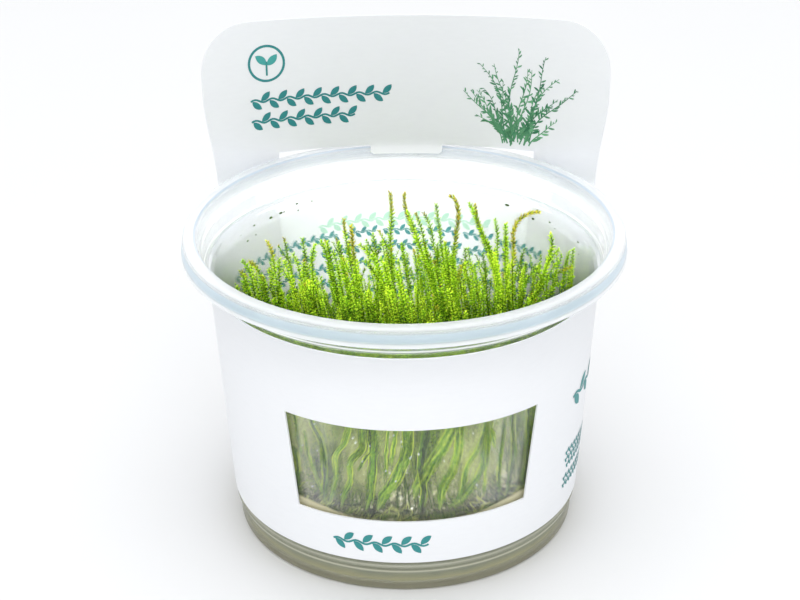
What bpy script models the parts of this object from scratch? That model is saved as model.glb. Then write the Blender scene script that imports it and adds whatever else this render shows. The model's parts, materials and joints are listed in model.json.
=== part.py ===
"""Flame moss growing on gel in a clear cup, with the printed card sleeve round it.

Metres, +Z up. The origin is the middle of the cup's base, where it stands. The window in the card faces -Y,
and the card's display panel stands behind the cup, at +Y.
"""

import math
import random

import bmesh
import bpy
from mathutils import Vector

MM = 0.001

# Cup
CUP_HEIGHT = 68.0 * MM
RIM_RADIUS = 47.5 * MM
RIM_TOP_RADIUS = 46.9 * MM
LIP_RADIUS = 44.5 * MM
RIM_SKIRT = 4.4 * MM
RIM_CROWN = 0.3 * MM
CUP_WALL = 0.7 * MM
BASE_RADIUS = 37.0 * MM
BASE_THICKNESS = 1.2 * MM
FOOT_CORNER = 1.0 * MM
WALL_TAPER = 0.0717
LEDGE_HEIGHT = 59.6 * MM
LEDGE_STEP = 1.3 * MM
BEAD_LOW = 5.5 * MM
BEAD_HIGH = 6.8 * MM
BEAD_STANDS = 0.4 * MM
ROUND_STEPS = 48

# Fit between pieces that touch
GAP = 0.3 * MM

# Gel
GEL_TOP = 19.3 * MM
GEL_CREEP = 0.7 * MM
GEL_CREEP_WIDTH = 2.4 * MM

# Card sleeve
CARD = 0.4 * MM
CARD_BOTTOM = 7.9 * MM
CARD_TOP = 58.3 * MM
WINDOW_LOW = 18.4 * MM
WINDOW_HIGH = 41.3 * MM
WINDOW_HALF_LOW = 27.4 * MM
WINDOW_HALF_HIGH = 29.1 * MM
WINDOW_SHIFT = 1.6 * MM
PANEL_SHIFT = 0.8 * MM
PANEL_TOP = 99.2 * MM
PANEL_HALF = 46.8 * MM
PANEL_NECK = 44.6 * MM
PANEL_NECK_HEIGHT = 63.5 * MM
PANEL_WIDEST_HEIGHT = 84.0 * MM
PANEL_CORNER = 11.0 * MM
PANEL_LOW_BEND = 93.0 * MM
PANEL_HIGH_BEND = 150.0 * MM
PANEL_LOW_BACK = 43.2 * MM
PANEL_HIGH_BACK = 45.0 * MM
PANEL_FREE_HEIGHT = 63.2 * MM
CARD_LIFT_HEIGHT = 55.5 * MM
LIFT_INNER = 22.0 * MM
LIFT_OUTER = 64.0 * MM
SLOT_HALF = 29.7 * MM
SLOT_TOP = 68.4 * MM
TONGUE_HALF = 8.25 * MM
TONGUE_DROP = 2.0 * MM
TONGUE_LEAN = 0.6 * MM
CORNER_ANGLES = (0, 26, 49, 70, 90)
PANEL_STRIPS = 4
SIDE_STRIPS = 10
WINDOW_STRIPS = 12

# Moss
TUFTS = 25
TUFT_SPREAD = 29.5 * MM
TUFT_TURN = math.radians(137.508)
TUFT_FIRST_ANGLE = math.radians(20)
BODY_TOP_SHARE = 0.72
BODY_CROWN = 0.93
BODY_CROWN_WIDTH = 0.5
BODY_BELLY = 0.6
BODY_FOOT_WIDTH = 0.85
BODY_STEPS = 8
SHOOT_RADIUS = 0.85 * MM
TIP_SHARE = 0.38
KNEE_SHARE = 0.6
ROOT_SHARE = 0.45
SHOOTS_PER_TUFT = 4
SHOOT_TURN_SCATTER = 0.3
ROOT_REACH = (0.5, 0.8)
TIP_REACH = (0.55, 1.0)
TIP_SCATTER = (-4.0 * MM, 1.0 * MM)
ROOT_INSET = 1.9 * MM
TIP_INSET = 1.2 * MM
CURL_POWER = 1.6
CURL_STEPS = (0.0, 0.5, 0.8, 1.0)
LEAN_LEFT = -0.16
LEAN_RIGHT = 0.26
LEAN_TURNS_FROM = 12.0 * MM
LEAN_TURNS_OVER = 24.0 * MM
SPREAD_SLOPE = 0.14
UNSWAY_ROUNDS = 16
UNSWAY_STEP = 0.5
CANOPY_LOW = 47.0 * MM
RIDGE_RISE = 10.0 * MM
RIDGE_PLACE = 13.0 * MM
RIDGE_WIDTH = 12.0 * MM
MIDDLE_RISE = 2.0 * MM
MIDDLE_WIDTH = 15.0 * MM
BACK_DROP = 4.0 * MM
BACK_FROM = 10.0 * MM
BACK_OVER = 18.0 * MM
SEED = 11

# Tips of the shoots that stand clear of the rest, in mm: x, y, height over the table, and the curl along x
TALL_SHOOTS = (
    (-3.0, 21.2, 66.0, -0.4),
    (0.3, 21.9, 65.5, 1.3),
    (1.0, 19.7, 62.0, 0.0),
    (2.7, 16.5, 63.0, -0.6),
    (4.5, 21.4, 61.0, -1.0),
    (7.2, 19.5, 64.0, 0.0),
    (10.3, 19.3, 66.0, -2.8),
    (14.5, 17.7, 65.0, 0.0),
    (15.8, 18.3, 64.0, 0.9),
    (17.2, 18.6, 58.0, 0.6),
    (20.2, 17.4, 61.0, -0.5),
    (22.6, 16.8, 60.0, 0.0),
    (29.4, 11.6, 65.5, 5.2),
    (32.2, 11.4, 60.0, -1.2),
    (33.8, 10.1, 57.0, 1.0),
    (36.2, 5.6, 55.0, 2.6),
    (36.4, 2.7, 54.0, 1.8),
    (30.0, 8.3, 54.0, 2.0),
    (-35.2, 2.4, 56.0, 0.0),
    (-35.0, 5.8, 57.0, -1.0),
    (-33.2, 7.3, 56.0, -1.2),
    (-29.7, 9.0, 60.0, -0.6),
    (-27.3, 8.8, 56.0, 0.0),
    (-24.3, 9.1, 57.0, -0.6),
    (-22.1, 10.2, 54.0, 0.4),
    (-19.5, 11.5, 58.0, 0.8),
    (-18.0, 11.4, 58.5, -0.5),
    (-16.8, 10.9, 59.0, 0.0),
    (-15.7, 12.0, 56.0, -0.4),
    (-13.1, 13.6, 63.0, 0.4),
    (-11.6, 12.1, 62.0, 0.0),
    (-9.7, 11.3, 58.0, -1.6),
    (-8.6, 11.5, 54.0, -0.4),
    (-5.1, 12.4, 54.0, -0.3),
)

# Looks: base colour, roughness, transmission
CLEAR_PLASTIC = ((0.92, 0.94, 0.94), 0.08, 1.0)
GEL = ((0.62, 0.56, 0.38), 0.25, 0.4)
WHITE_CARD = ((0.88, 0.89, 0.91), 0.55, 0.0)
MOSS_GREEN = ((0.22, 0.42, 0.05), 0.6, 0.0)


def ease(share):
    """A rise from 0 to 1 that starts and ends level."""
    share = min(max(share, 0.0), 1.0)
    return share * share * (3 - 2 * share)


def between(low, high, share):
    return low + (high - low) * share


# Scene, materials and shared helpers


def clear_scene():
    for obj in list(bpy.data.objects):
        bpy.data.objects.remove(obj, do_unlink=True)


def new_collection(name, helper=False):
    collection = bpy.data.collections.new(name)
    bpy.context.scene.collection.children.link(collection)
    collection.hide_render = helper
    return collection


def new_material(name, colour, roughness, transmission):
    material = bpy.data.materials.new(name)
    material.use_nodes = True
    shader = material.node_tree.nodes["Principled BSDF"]
    shader.inputs["Base Color"].default_value = (*colour, 1.0)
    shader.inputs["Roughness"].default_value = roughness
    shader.inputs["Metallic"].default_value = 0.0
    shader.inputs["Transmission Weight"].default_value = transmission
    return material


def new_object(name, mesh, collection):
    obj = bpy.data.objects.new(name, mesh)
    collection.objects.link(obj)
    return obj


def evaluated_mesh(obj):
    """The object's mesh with its modifiers, or a curve's tube, as a new mesh."""
    graph = bpy.context.evaluated_depsgraph_get()
    graph.update()
    return bpy.data.meshes.new_from_object(obj.evaluated_get(graph))


def shade_round(mesh, sharp_degrees=35):
    mesh.shade_smooth()
    mesh.set_sharp_from_angle(angle=math.radians(sharp_degrees))


def turned(name, profile, steps, collection):
    """A profile of (radius, height) pairs turned about Z. It ends by running down the outer side."""
    mesh = bpy.data.meshes.new(name)
    points = [(radius, 0.0, height) for radius, height in profile]
    mesh.from_pydata(points, [(i, i + 1) for i in range(len(points) - 1)], [])
    obj = new_object(name, mesh, collection)
    screw = obj.modifiers.new("Turn", "SCREW")
    screw.axis = "Z"
    screw.angle = math.tau
    screw.steps = screw.render_steps = steps
    screw.use_merge_vertices = True
    screw.merge_threshold = 0.0001
    solid = evaluated_mesh(obj)
    obj.modifiers.clear()
    obj.data = solid
    bpy.data.meshes.remove(mesh)
    shade_round(solid)
    return obj


# Cup and gel


def wall_radius(height):
    """Outer radius of the cup's tapered wall."""
    return BASE_RADIUS + WALL_TAPER * height


def cup_profile():
    """From the middle of the floor up the inside, over the rim and down the outside to the base."""
    inner = [
        (0.0, BASE_THICKNESS),
        (wall_radius(0) - CUP_WALL - FOOT_CORNER, BASE_THICKNESS),
        (wall_radius(0) - CUP_WALL, BASE_THICKNESS + FOOT_CORNER),
        (wall_radius(LEDGE_HEIGHT) - CUP_WALL, LEDGE_HEIGHT),
        (wall_radius(LEDGE_HEIGHT) - CUP_WALL + LEDGE_STEP, LEDGE_HEIGHT + CUP_WALL),
        (LIP_RADIUS - CUP_WALL, CUP_HEIGHT - 2 * CUP_WALL),
        (LIP_RADIUS, CUP_HEIGHT - RIM_CROWN),
    ]
    rim = [
        ((LIP_RADIUS + RIM_TOP_RADIUS) / 2, CUP_HEIGHT),
        (RIM_TOP_RADIUS, CUP_HEIGHT - RIM_CROWN),
        (RIM_RADIUS, CUP_HEIGHT - RIM_SKIRT),
        (RIM_RADIUS - CUP_WALL, CUP_HEIGHT - RIM_SKIRT),
        (RIM_TOP_RADIUS - CUP_WALL, CUP_HEIGHT - RIM_CROWN - CUP_WALL),
        (LIP_RADIUS + CUP_WALL, CUP_HEIGHT - RIM_CROWN - CUP_WALL),
        (LIP_RADIUS, CUP_HEIGHT - 3 * CUP_WALL),
    ]
    outer = [
        (wall_radius(LEDGE_HEIGHT) + LEDGE_STEP, LEDGE_HEIGHT + CUP_WALL / 2),
        (wall_radius(LEDGE_HEIGHT), LEDGE_HEIGHT - CUP_WALL / 2),
        (wall_radius(BEAD_HIGH), BEAD_HIGH),
        (wall_radius(BEAD_HIGH) + BEAD_STANDS, BEAD_HIGH - BEAD_STANDS),
        (wall_radius(BEAD_LOW) + BEAD_STANDS, BEAD_LOW + BEAD_STANDS),
        (wall_radius(BEAD_LOW), BEAD_LOW),
        (wall_radius(FOOT_CORNER), FOOT_CORNER),
        (wall_radius(0) - FOOT_CORNER / 3, FOOT_CORNER / 3),
        (wall_radius(0) - FOOT_CORNER, 0.0),
        (0.0, 0.0),
    ]
    return inner + rim + outer


def gel_profile():
    """A disc that fills the cup's floor, with its top edge crept a little up the wall."""
    floor = BASE_THICKNESS + GAP

    def side(height):
        return wall_radius(height) - CUP_WALL - GAP

    return [
        (0.0, GEL_TOP),
        (side(GEL_TOP) - GEL_CREEP_WIDTH, GEL_TOP),
        (side(GEL_TOP + GEL_CREEP), GEL_TOP + GEL_CREEP),
        (side(floor + FOOT_CORNER), floor + FOOT_CORNER),
        (side(floor) - FOOT_CORNER, floor),
        (0.0, floor),
    ]


# Card sleeve


def card_radius(height):
    """Outer radius of the card where it lies round the cup."""
    return wall_radius(height) + GAP + CARD


def panel_half(height):
    """Half the panel's width: a fillet out of the sleeve's top, a neck, then a flare to round corners."""
    if height < PANEL_NECK_HEIGHT:
        drop = PANEL_NECK_HEIGHT - height
        fillet = PANEL_NECK_HEIGHT - CARD_TOP
        return PANEL_NECK + fillet - math.sqrt(max(fillet**2 - drop**2, 0.0))
    flare = ease((height - PANEL_NECK_HEIGHT) / (PANEL_WIDEST_HEIGHT - PANEL_NECK_HEIGHT))
    half = between(PANEL_NECK, PANEL_HALF, flare)
    rise = max(height - (PANEL_TOP - PANEL_CORNER), 0.0)
    return half - PANEL_CORNER + math.sqrt(max(PANEL_CORNER**2 - rise**2, 0.0))


def on_cone(across, height):
    """The card wrapped on the cup. across runs along the sleeve's top edge from the middle of the back."""
    angle = across / card_radius(CARD_TOP)
    radius = card_radius(height)
    return Vector((radius * math.sin(angle), radius * math.cos(angle), height))


def on_panel(across, height):
    """The free panel: at each height an arc that opens out, and leans back, towards the top."""
    share = max(height - PANEL_FREE_HEIGHT, 0.0) / (PANEL_TOP - PANEL_FREE_HEIGHT)
    bend = 1 / between(1 / PANEL_LOW_BEND, 1 / PANEL_HIGH_BEND, share)
    back = between(PANEL_LOW_BACK, PANEL_HIGH_BACK, share)
    return Vector((bend * math.sin(across / bend), back - bend * (1 - math.cos(across / bend)), height))


def card_place(across, height):
    """Where a point of the flat card lies once the card is round the cup."""
    turn = 2 * math.pi * card_radius(CARD_TOP)
    across = (across - PANEL_SHIFT + turn / 2) % turn - turn / 2 + PANEL_SHIFT
    reach = abs(across - PANEL_SHIFT)
    if height > CARD_TOP + GAP:
        beside_slot = 1.0
    elif reach < SLOT_HALF:
        beside_slot = ease((reach - LIFT_INNER) / (SLOT_HALF - LIFT_INNER))
    else:
        beside_slot = ease((LIFT_OUTER - reach) / (LIFT_OUTER - panel_half(CARD_TOP)))
    lift = ease((height - CARD_LIFT_HEIGHT) / (PANEL_FREE_HEIGHT - CARD_LIFT_HEIGHT)) * beside_slot
    return on_cone(across, height).lerp(on_panel(across, height), lift)


def spaced(low, high, count):
    """count steps from low to high, without high itself."""
    return [between(low, high, i / count) for i in range(count)]


def back_columns(height):
    """Columns of the panel and of the sleeve below it, from one side edge to the other."""
    half = panel_half(max(height, CARD_TOP))
    edges = (-half, -SLOT_HALF, -TONGUE_HALF, TONGUE_HALF, SLOT_HALF, half)
    columns = []
    for left, right in zip(edges, edges[1:]):
        columns += spaced(left, right, PANEL_STRIPS)
    return [PANEL_SHIFT + column for column in columns + [half]]


def front_columns(height):
    """Columns round the sleeve's sides and front, from one edge of the panel to the other, ends left out."""
    share = (height - WINDOW_LOW) / (WINDOW_HIGH - WINDOW_LOW)
    half = between(WINDOW_HALF_LOW, WINDOW_HALF_HIGH, min(max(share, 0.0), 1.0))
    middle = math.pi * card_radius(CARD_TOP) - WINDOW_SHIFT
    end = panel_half(CARD_TOP)
    turn = 2 * math.pi * card_radius(CARD_TOP)
    columns = spaced(PANEL_SHIFT + end, middle - half, SIDE_STRIPS)[1:]
    columns += spaced(middle - half, middle + half, WINDOW_STRIPS)
    columns += spaced(middle + half, turn + PANEL_SHIFT - end, SIDE_STRIPS)
    return columns


def card_mesh():
    """The card's outer face as one sheet of quads, open at the window and slot, with the tongue in the slot."""
    sleeve_heights = [CARD_BOTTOM, WINDOW_LOW, WINDOW_HIGH, CARD_TOP]
    leg_heights = [CARD_TOP, between(CARD_TOP, PANEL_FREE_HEIGHT, 0.5), PANEL_FREE_HEIGHT, SLOT_TOP]
    corner = PANEL_TOP - PANEL_CORNER
    corner_heights = [corner + PANEL_CORNER * math.sin(math.radians(angle)) for angle in CORNER_ANGLES]
    panel_heights = [SLOT_TOP, between(SLOT_TOP, corner, 0.5)] + corner_heights

    sheet = bmesh.new()
    made = {}

    def corner_at(across, height):
        key = (round(across, 7), round(height, 7))
        if key not in made:
            made[key] = sheet.verts.new(card_place(across, height))
        return made[key]

    def strip(low_columns, high_columns, low, high, skip=()):
        for i in range(len(low_columns) - 1):
            if i in skip:
                continue
            quad = [(low_columns[i + 1], low), (low_columns[i], low)]
            quad += [(high_columns[i], high), (high_columns[i + 1], high)]
            sheet.faces.new([corner_at(*point) for point in quad])

    def ring(height):
        back = back_columns(height)
        return back + front_columns(height) + [back[0]]

    window_start = 5 * PANEL_STRIPS + SIDE_STRIPS
    window_cells = range(window_start, window_start + WINDOW_STRIPS)
    slot_cells = range(PANEL_STRIPS, 4 * PANEL_STRIPS)
    for low, high in zip(sleeve_heights, sleeve_heights[1:]):
        strip(ring(low), ring(high), low, high, window_cells if low == WINDOW_LOW else ())
    for low, high in zip(leg_heights, leg_heights[1:]):
        strip(back_columns(low), back_columns(high), low, high, slot_cells)
    for low, high in zip(panel_heights, panel_heights[1:]):
        strip(back_columns(low), back_columns(high), low, high)
    tongue_columns = back_columns(SLOT_TOP)[2 * PANEL_STRIPS : 3 * PANEL_STRIPS + 1]
    hang_tongue(sheet, tongue_columns, [corner_at(column, SLOT_TOP) for column in tongue_columns])

    mesh = bpy.data.meshes.new("card_sleeve")
    sheet.to_mesh(mesh)
    sheet.free()
    return mesh


def hang_tongue(sheet, columns, root):
    """A flap that hangs from the slot's top edge and leans a little forward, clear of the rim behind it."""
    lean = Vector((0, -TONGUE_LEAN, 0))
    tip = [sheet.verts.new(card_place(column, SLOT_TOP - TONGUE_DROP) + lean) for column in columns]
    for i in range(len(root) - 1):
        sheet.faces.new([root[i], root[i + 1], tip[i + 1], tip[i]])


def make_card(collection):
    card = new_object("card_sleeve", card_mesh(), collection)
    thickness = card.modifiers.new("Card thickness", "SOLIDIFY")
    thickness.thickness = CARD
    thickness.offset = -1
    thickness.use_even_offset = True
    shade_round(card.data)
    return card


# Moss


def tuft_centre(index):
    """Places spread evenly over the gel, each a fixed turn on from the last."""
    radius = TUFT_SPREAD * math.sqrt((index + 0.5) / TUFTS)
    angle = TUFT_FIRST_ANGLE + index * TUFT_TURN
    return Vector((radius * math.cos(angle), radius * math.sin(angle), 0.0))


def sway_slope(x):
    """Lean along x for each metre of height: left over most of the cup, outward at the right."""
    return between(LEAN_LEFT, LEAN_RIGHT, ease((x - LEAN_TURNS_FROM) / LEAN_TURNS_OVER))


def sway(point):
    """The lean that all shoots share, so that straight shoots side by side stay clear of each other."""
    height = point.z - GEL_TOP
    along_x = sway_slope(point.x) * height
    along_y = SPREAD_SLOPE * height * point.y / TUFT_SPREAD
    return Vector((point.x + along_x, point.y + along_y, point.z))


def unsway(point):
    """The upright place that sway carries to this point."""
    upright = point.copy()
    for _ in range(UNSWAY_ROUNDS):
        upright += (point - sway(upright)) * UNSWAY_STEP
    return upright


def canopy(x, y):
    """Height over the table of ordinary shoots: low at the front and the back wall, higher between."""
    ridge = RIDGE_RISE * math.exp(-(((y - RIDGE_PLACE) / RIDGE_WIDTH) ** 2))
    middle = MIDDLE_RISE * math.exp(-((x / MIDDLE_WIDTH) ** 2))
    back = BACK_DROP * ease((y - BACK_FROM) / BACK_OVER)
    return CANOPY_LOW + ridge + middle - back


def inside_wall(point):
    """The point, drawn in where a shoot there would touch the cup's wall."""
    most = wall_radius(point.z) - CUP_WALL - 2 * GAP - SHOOT_RADIUS
    drawn_in = min(1.0, most / max(math.hypot(point.x, point.y), MM))
    return Vector((point.x * drawn_in, point.y * drawn_in, point.z))


def shoot_path(root, knee, tip, curl):
    """Points up a shoot that sways with the rest. Above its knee it bends to its tip, and curls along x."""
    steps = CURL_STEPS if curl else (0.0, 1.0)
    path = [sway(root)]
    for above in steps:
        point = sway(knee.lerp(tip, above))
        point.x += curl * above**CURL_POWER
        path.append(inside_wall(point))
    return path


def ordinary_shoots(centre, cell, dice):
    """Root, knee and tip of the short shoots that stand out of a tuft. The roots are hidden in its body."""
    start = dice.uniform(0, math.tau)
    for i in range(SHOOTS_PER_TUFT):
        angle = start + math.tau * i / SHOOTS_PER_TUFT
        angle += dice.uniform(-SHOOT_TURN_SCATTER, SHOOT_TURN_SCATTER)
        out = Vector((math.cos(angle), math.sin(angle), 0.0))
        root = centre + out * (cell - ROOT_INSET) * dice.uniform(*ROOT_REACH)
        tip = centre + out * (cell - TIP_INSET) * dice.uniform(*TIP_REACH)
        tip.z = canopy(tip.x, tip.y) + dice.uniform(*TIP_SCATTER)
        root.z = between(GEL_TOP, tip.z, ROOT_SHARE)
        yield root, root.lerp(tip, 0.5), tip, 0.0


def tall_shoots(centre, cell, centres):
    """Root, knee and tip of the named tall shoots that grow from this tuft."""
    for x, y, height, curl in TALL_SHOOTS:
        tip = unsway(Vector((x - curl, y, height)) * MM)
        place = Vector((tip.x, tip.y, 0.0))
        if min(centres, key=lambda other: (other - place).length) != centre:
            continue
        lean = place - centre
        reach = min(1.0, (cell - TIP_INSET) / max(lean.length, MM))
        root = centre + lean * reach * 0.5
        root.z = between(GEL_TOP, canopy(centre.x, centre.y), ROOT_SHARE)
        knee = centre + lean * reach
        knee.z = between(root.z, tip.z, KNEE_SHARE)
        yield root, knee, tip, curl * MM


def shoot_object(path, collection):
    """A tapered tube along the path, closed at both ends."""
    curve = bpy.data.curves.new("shoot", "CURVE")
    curve.dimensions = "3D"
    curve.bevel_depth = SHOOT_RADIUS
    curve.bevel_resolution = 0
    curve.use_fill_caps = True
    spline = curve.splines.new("POLY")
    spline.points.add(len(path) - 1)
    for i, point in enumerate(path):
        spline.points[i].co = (*point, 1.0)
        spline.points[i].radius = between(1.0, TIP_SHARE, i / (len(path) - 1))
    guide = new_object("shoot", curve, collection)
    mesh = evaluated_mesh(guide)
    bpy.data.objects.remove(guide)
    shape = bmesh.new()
    shape.from_mesh(mesh)
    bmesh.ops.remove_doubles(shape, verts=shape.verts, dist=0.01 * MM)
    shape.to_mesh(mesh)
    shape.free()
    return new_object("shoot", mesh, collection)


def body_profile(radius, top):
    """The close foliage of one tuft, up to where its shoots part: a column that swells, then draws in."""
    foot = GEL_TOP + GAP
    return [
        (0.0, top),
        (radius * BODY_CROWN_WIDTH, between(foot, top, BODY_CROWN)),
        (radius, between(foot, top, BODY_BELLY)),
        (radius * BODY_FOOT_WIDTH, foot),
        (0.0, foot),
    ]


def make_tuft(index, centres, collection, helpers):
    """One tuft: its body of close foliage, with its shoots joined to it."""
    name = f"moss_tuft_{index + 1:02d}"
    centre = centres[index]
    cell = min((other - centre).length for other in centres if other != centre) / 2
    dice = random.Random(SEED + index)
    top = between(GEL_TOP, canopy(centre.x, centre.y), BODY_TOP_SHARE)
    tuft = turned(name, body_profile(cell - GAP, top), BODY_STEPS, collection)
    for vert in tuft.data.vertices:
        vert.co = sway(vert.co + centre)
    shoots = list(ordinary_shoots(centre, cell, dice)) + list(tall_shoots(centre, cell, centres))
    made = [shoot_object(shoot_path(*shoot), helpers) for shoot in shoots]
    join = tuft.modifiers.new("Shoots", "BOOLEAN")
    join.operation = "UNION"
    join.solver = "EXACT"
    join.operand_type = "COLLECTION"
    join.collection = helpers
    mesh = evaluated_mesh(tuft)
    tuft.modifiers.clear()
    tuft.data = mesh
    shade_round(mesh, 50)
    for shoot in made:
        bpy.data.objects.remove(shoot)
    return tuft


def main():
    clear_scene()
    part = new_collection("flame_moss_cup")
    helpers = new_collection("moss_shoots", helper=True)

    cup = turned("cup", cup_profile(), ROUND_STEPS, part)
    cup.data.materials.append(new_material("clear_plastic", *CLEAR_PLASTIC))
    gel = turned("nutrient_gel", gel_profile(), ROUND_STEPS, part)
    gel.data.materials.append(new_material("gel", *GEL))
    card = make_card(part)
    card.data.materials.append(new_material("white_card", *WHITE_CARD))

    green = new_material("moss_green", *MOSS_GREEN)
    centres = [tuft_centre(index) for index in range(TUFTS)]
    for index in range(TUFTS):
        tuft = make_tuft(index, centres, part, helpers)
        tuft.data.materials.append(green)
    bpy.data.collections.remove(helpers)


main()
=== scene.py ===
"""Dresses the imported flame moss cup: clear cup, gel, printed card and leafy moss, in a white studio.

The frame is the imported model's own, in metres: +Z is up, the cup stands on Z = 0, and the window in the card
faces -Y. Shapes are worked out in millimetres, and turned to metres where a mesh is made.
"""

from __future__ import annotations

import json
import logging
import math
import random
from collections.abc import Callable, Iterable, Sequence
from dataclasses import dataclass, field
from enum import Enum, IntEnum

import bmesh
import bpy
import numpy as np
from mathutils import Matrix, Vector

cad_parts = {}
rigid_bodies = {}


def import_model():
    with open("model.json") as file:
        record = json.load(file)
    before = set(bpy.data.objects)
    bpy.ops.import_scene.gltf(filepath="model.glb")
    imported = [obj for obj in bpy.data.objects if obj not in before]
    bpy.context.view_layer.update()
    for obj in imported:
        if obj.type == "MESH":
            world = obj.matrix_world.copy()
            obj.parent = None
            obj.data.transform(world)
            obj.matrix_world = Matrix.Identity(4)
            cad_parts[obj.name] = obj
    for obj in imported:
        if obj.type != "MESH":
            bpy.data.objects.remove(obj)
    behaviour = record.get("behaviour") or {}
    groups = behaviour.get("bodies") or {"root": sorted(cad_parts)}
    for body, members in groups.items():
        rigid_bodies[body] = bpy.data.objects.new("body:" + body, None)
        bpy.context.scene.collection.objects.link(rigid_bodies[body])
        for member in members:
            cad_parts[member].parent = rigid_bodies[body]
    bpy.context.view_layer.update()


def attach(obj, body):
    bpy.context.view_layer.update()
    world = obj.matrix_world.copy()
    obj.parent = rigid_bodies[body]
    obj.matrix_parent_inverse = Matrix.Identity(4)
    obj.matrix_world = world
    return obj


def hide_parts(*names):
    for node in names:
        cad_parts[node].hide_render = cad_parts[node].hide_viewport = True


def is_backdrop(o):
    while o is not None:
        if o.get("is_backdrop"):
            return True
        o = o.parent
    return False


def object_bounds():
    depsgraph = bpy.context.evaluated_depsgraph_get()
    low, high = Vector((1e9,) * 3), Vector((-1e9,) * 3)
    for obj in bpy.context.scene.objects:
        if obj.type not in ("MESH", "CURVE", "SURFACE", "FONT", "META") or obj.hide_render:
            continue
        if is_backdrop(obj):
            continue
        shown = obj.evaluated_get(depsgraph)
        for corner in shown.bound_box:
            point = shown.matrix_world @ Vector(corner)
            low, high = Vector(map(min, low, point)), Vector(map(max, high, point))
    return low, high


MM = 0.001
WELD = 0.002
Array = np.ndarray
Dice = np.random.Generator
Socket = bpy.types.NodeSocket
Colour = tuple[float, float, float]
Place = tuple[float, float, float]
log = logging.getLogger("flame_moss_cup")


# Numbers


def ease(share: Array | float) -> Array | float:
    """A rise from 0 to 1 that starts and ends level: 3 s squared less 2 s cubed, with s held between 0 and 1."""
    held = np.clip(share, 0.0, 1.0)
    return held * held * (3 - 2 * held)


def rise(value: Array | float, low: float, high: float) -> Array | float:
    """0 up to low, 1 from high on, and an eased rise between them."""
    return ease((value - low) / (high - low))


def between(low: Array | float, high: Array | float, share: Array | float) -> Array | float:
    """The value that lies a share of the way from low to high."""
    return low + (high - low) * share


def unit(vectors: Array) -> Array:
    """Each vector, made one long."""
    return vectors / np.maximum(np.linalg.norm(vectors, axis=-1, keepdims=True), 1e-9)


def along(path: Array, shares: Array) -> Array:
    """Points on a smooth curve through a path's points.

    Each stretch between two points is a cubic that leaves and arrives in the direction of their neighbours.

    Args:
        path: the points that the curve goes through, one a row.
        shares: where to read the curve, from 0 at its first point to 1 at its last.

    Returns:
        One point a share.
    """
    steps = np.linalg.norm(np.diff(path, axis=0), axis=1)
    reached = np.concatenate([[0.0], np.cumsum(steps)])
    slopes = np.gradient(path, reached, axis=0)
    wanted = shares * reached[-1]
    index = np.clip(np.searchsorted(reached, wanted, side="right") - 1, 0, len(steps) - 1)
    length = steps[index][:, None]
    t = ((wanted - reached[index]) / steps[index])[:, None]
    start, end = path[index], path[index + 1]
    leave, arrive = slopes[index] * length, slopes[index + 1] * length
    return (
        (2 * t**3 - 3 * t**2 + 1) * start
        + (t**3 - 2 * t**2 + t) * leave
        + (3 * t**2 - 2 * t**3) * end
        + (t**3 - t**2) * arrive
    )


def led(start: Array, heading: Array, length: float) -> Array:
    """A line on the flat card, from its start on by equal steps: the sum of (cos a, sin a) over its headings a.

    Args:
        start: where it starts, as (across, height).
        heading: its direction at each point, in radians from across.
        length: its length.

    Returns:
        One point a heading.
    """
    step = np.stack([np.cos(heading), np.sin(heading)], axis=1) * length / (len(heading) - 1)
    return start + np.concatenate([np.zeros((1, 2)), np.cumsum(step[1:], axis=0)])


# Surfaces and pieces


@dataclass
class Surface:
    """Points in millimetres, the faces between them, and named numbers that each point carries."""

    points: Array
    faces: Array
    values: dict[str, Array] = field(default_factory=dict)

    def as_triangles(self) -> Surface:
        """The same surface with each four-sided face cut in two.

        Returns:
            A surface of triangles.
        """
        if self.faces.shape[1] == 3:
            return self
        halves = np.concatenate([self.faces[:, [0, 1, 2]], self.faces[:, [0, 2, 3]]])
        return Surface(self.points, halves, self.values)


def joined(surfaces: Sequence[Surface]) -> Surface:
    """Several surfaces with the same kind of face and the same values, as one.

    Args:
        surfaces: the surfaces to join.

    Returns:
        The joined surface.
    """
    starts = np.cumsum([0] + [len(surface.points) for surface in surfaces[:-1]])
    faces = [surface.faces + start for surface, start in zip(surfaces, starts)]
    values = {name: np.concatenate([surface.values[name] for surface in surfaces]) for name in surfaces[0].values}
    return Surface(np.concatenate([s.points for s in surfaces]), np.concatenate(faces), values)


def grid_surface(
    points: Array, wrap: bool = False, keep: Array | None = None, values: dict[str, Array] | None = None
) -> Surface:
    """Quads between the neighbours of a grid of points.

    Args:
        points: rows by columns by 3.
        wrap: joins the last column to the first.
        keep: rows less one by columns less one (or columns, with wrap); True where a quad is made.
        values: named numbers, rows by columns.

    Returns:
        The surface, whose faces look to the side of row direction cross column direction.
    """
    rows, columns = points.shape[:2]
    across = columns if wrap else columns - 1
    row, column = np.meshgrid(np.arange(rows - 1), np.arange(across), indexing="ij")
    near, far = row * columns, (row + 1) * columns
    following = (column + 1) % columns
    quads = np.stack([near + following, near + column, far + column, far + following], axis=-1)
    quads = quads.reshape(-1, 4) if keep is None else quads[keep]
    flat = {name: value.reshape(-1) for name, value in (values or {}).items()}
    used, numbers = np.unique(quads, return_inverse=True)
    kept = {name: value[used] for name, value in flat.items()}
    return Surface(points.reshape(-1, 3)[used], numbers.reshape(-1, 4), kept)


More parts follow.
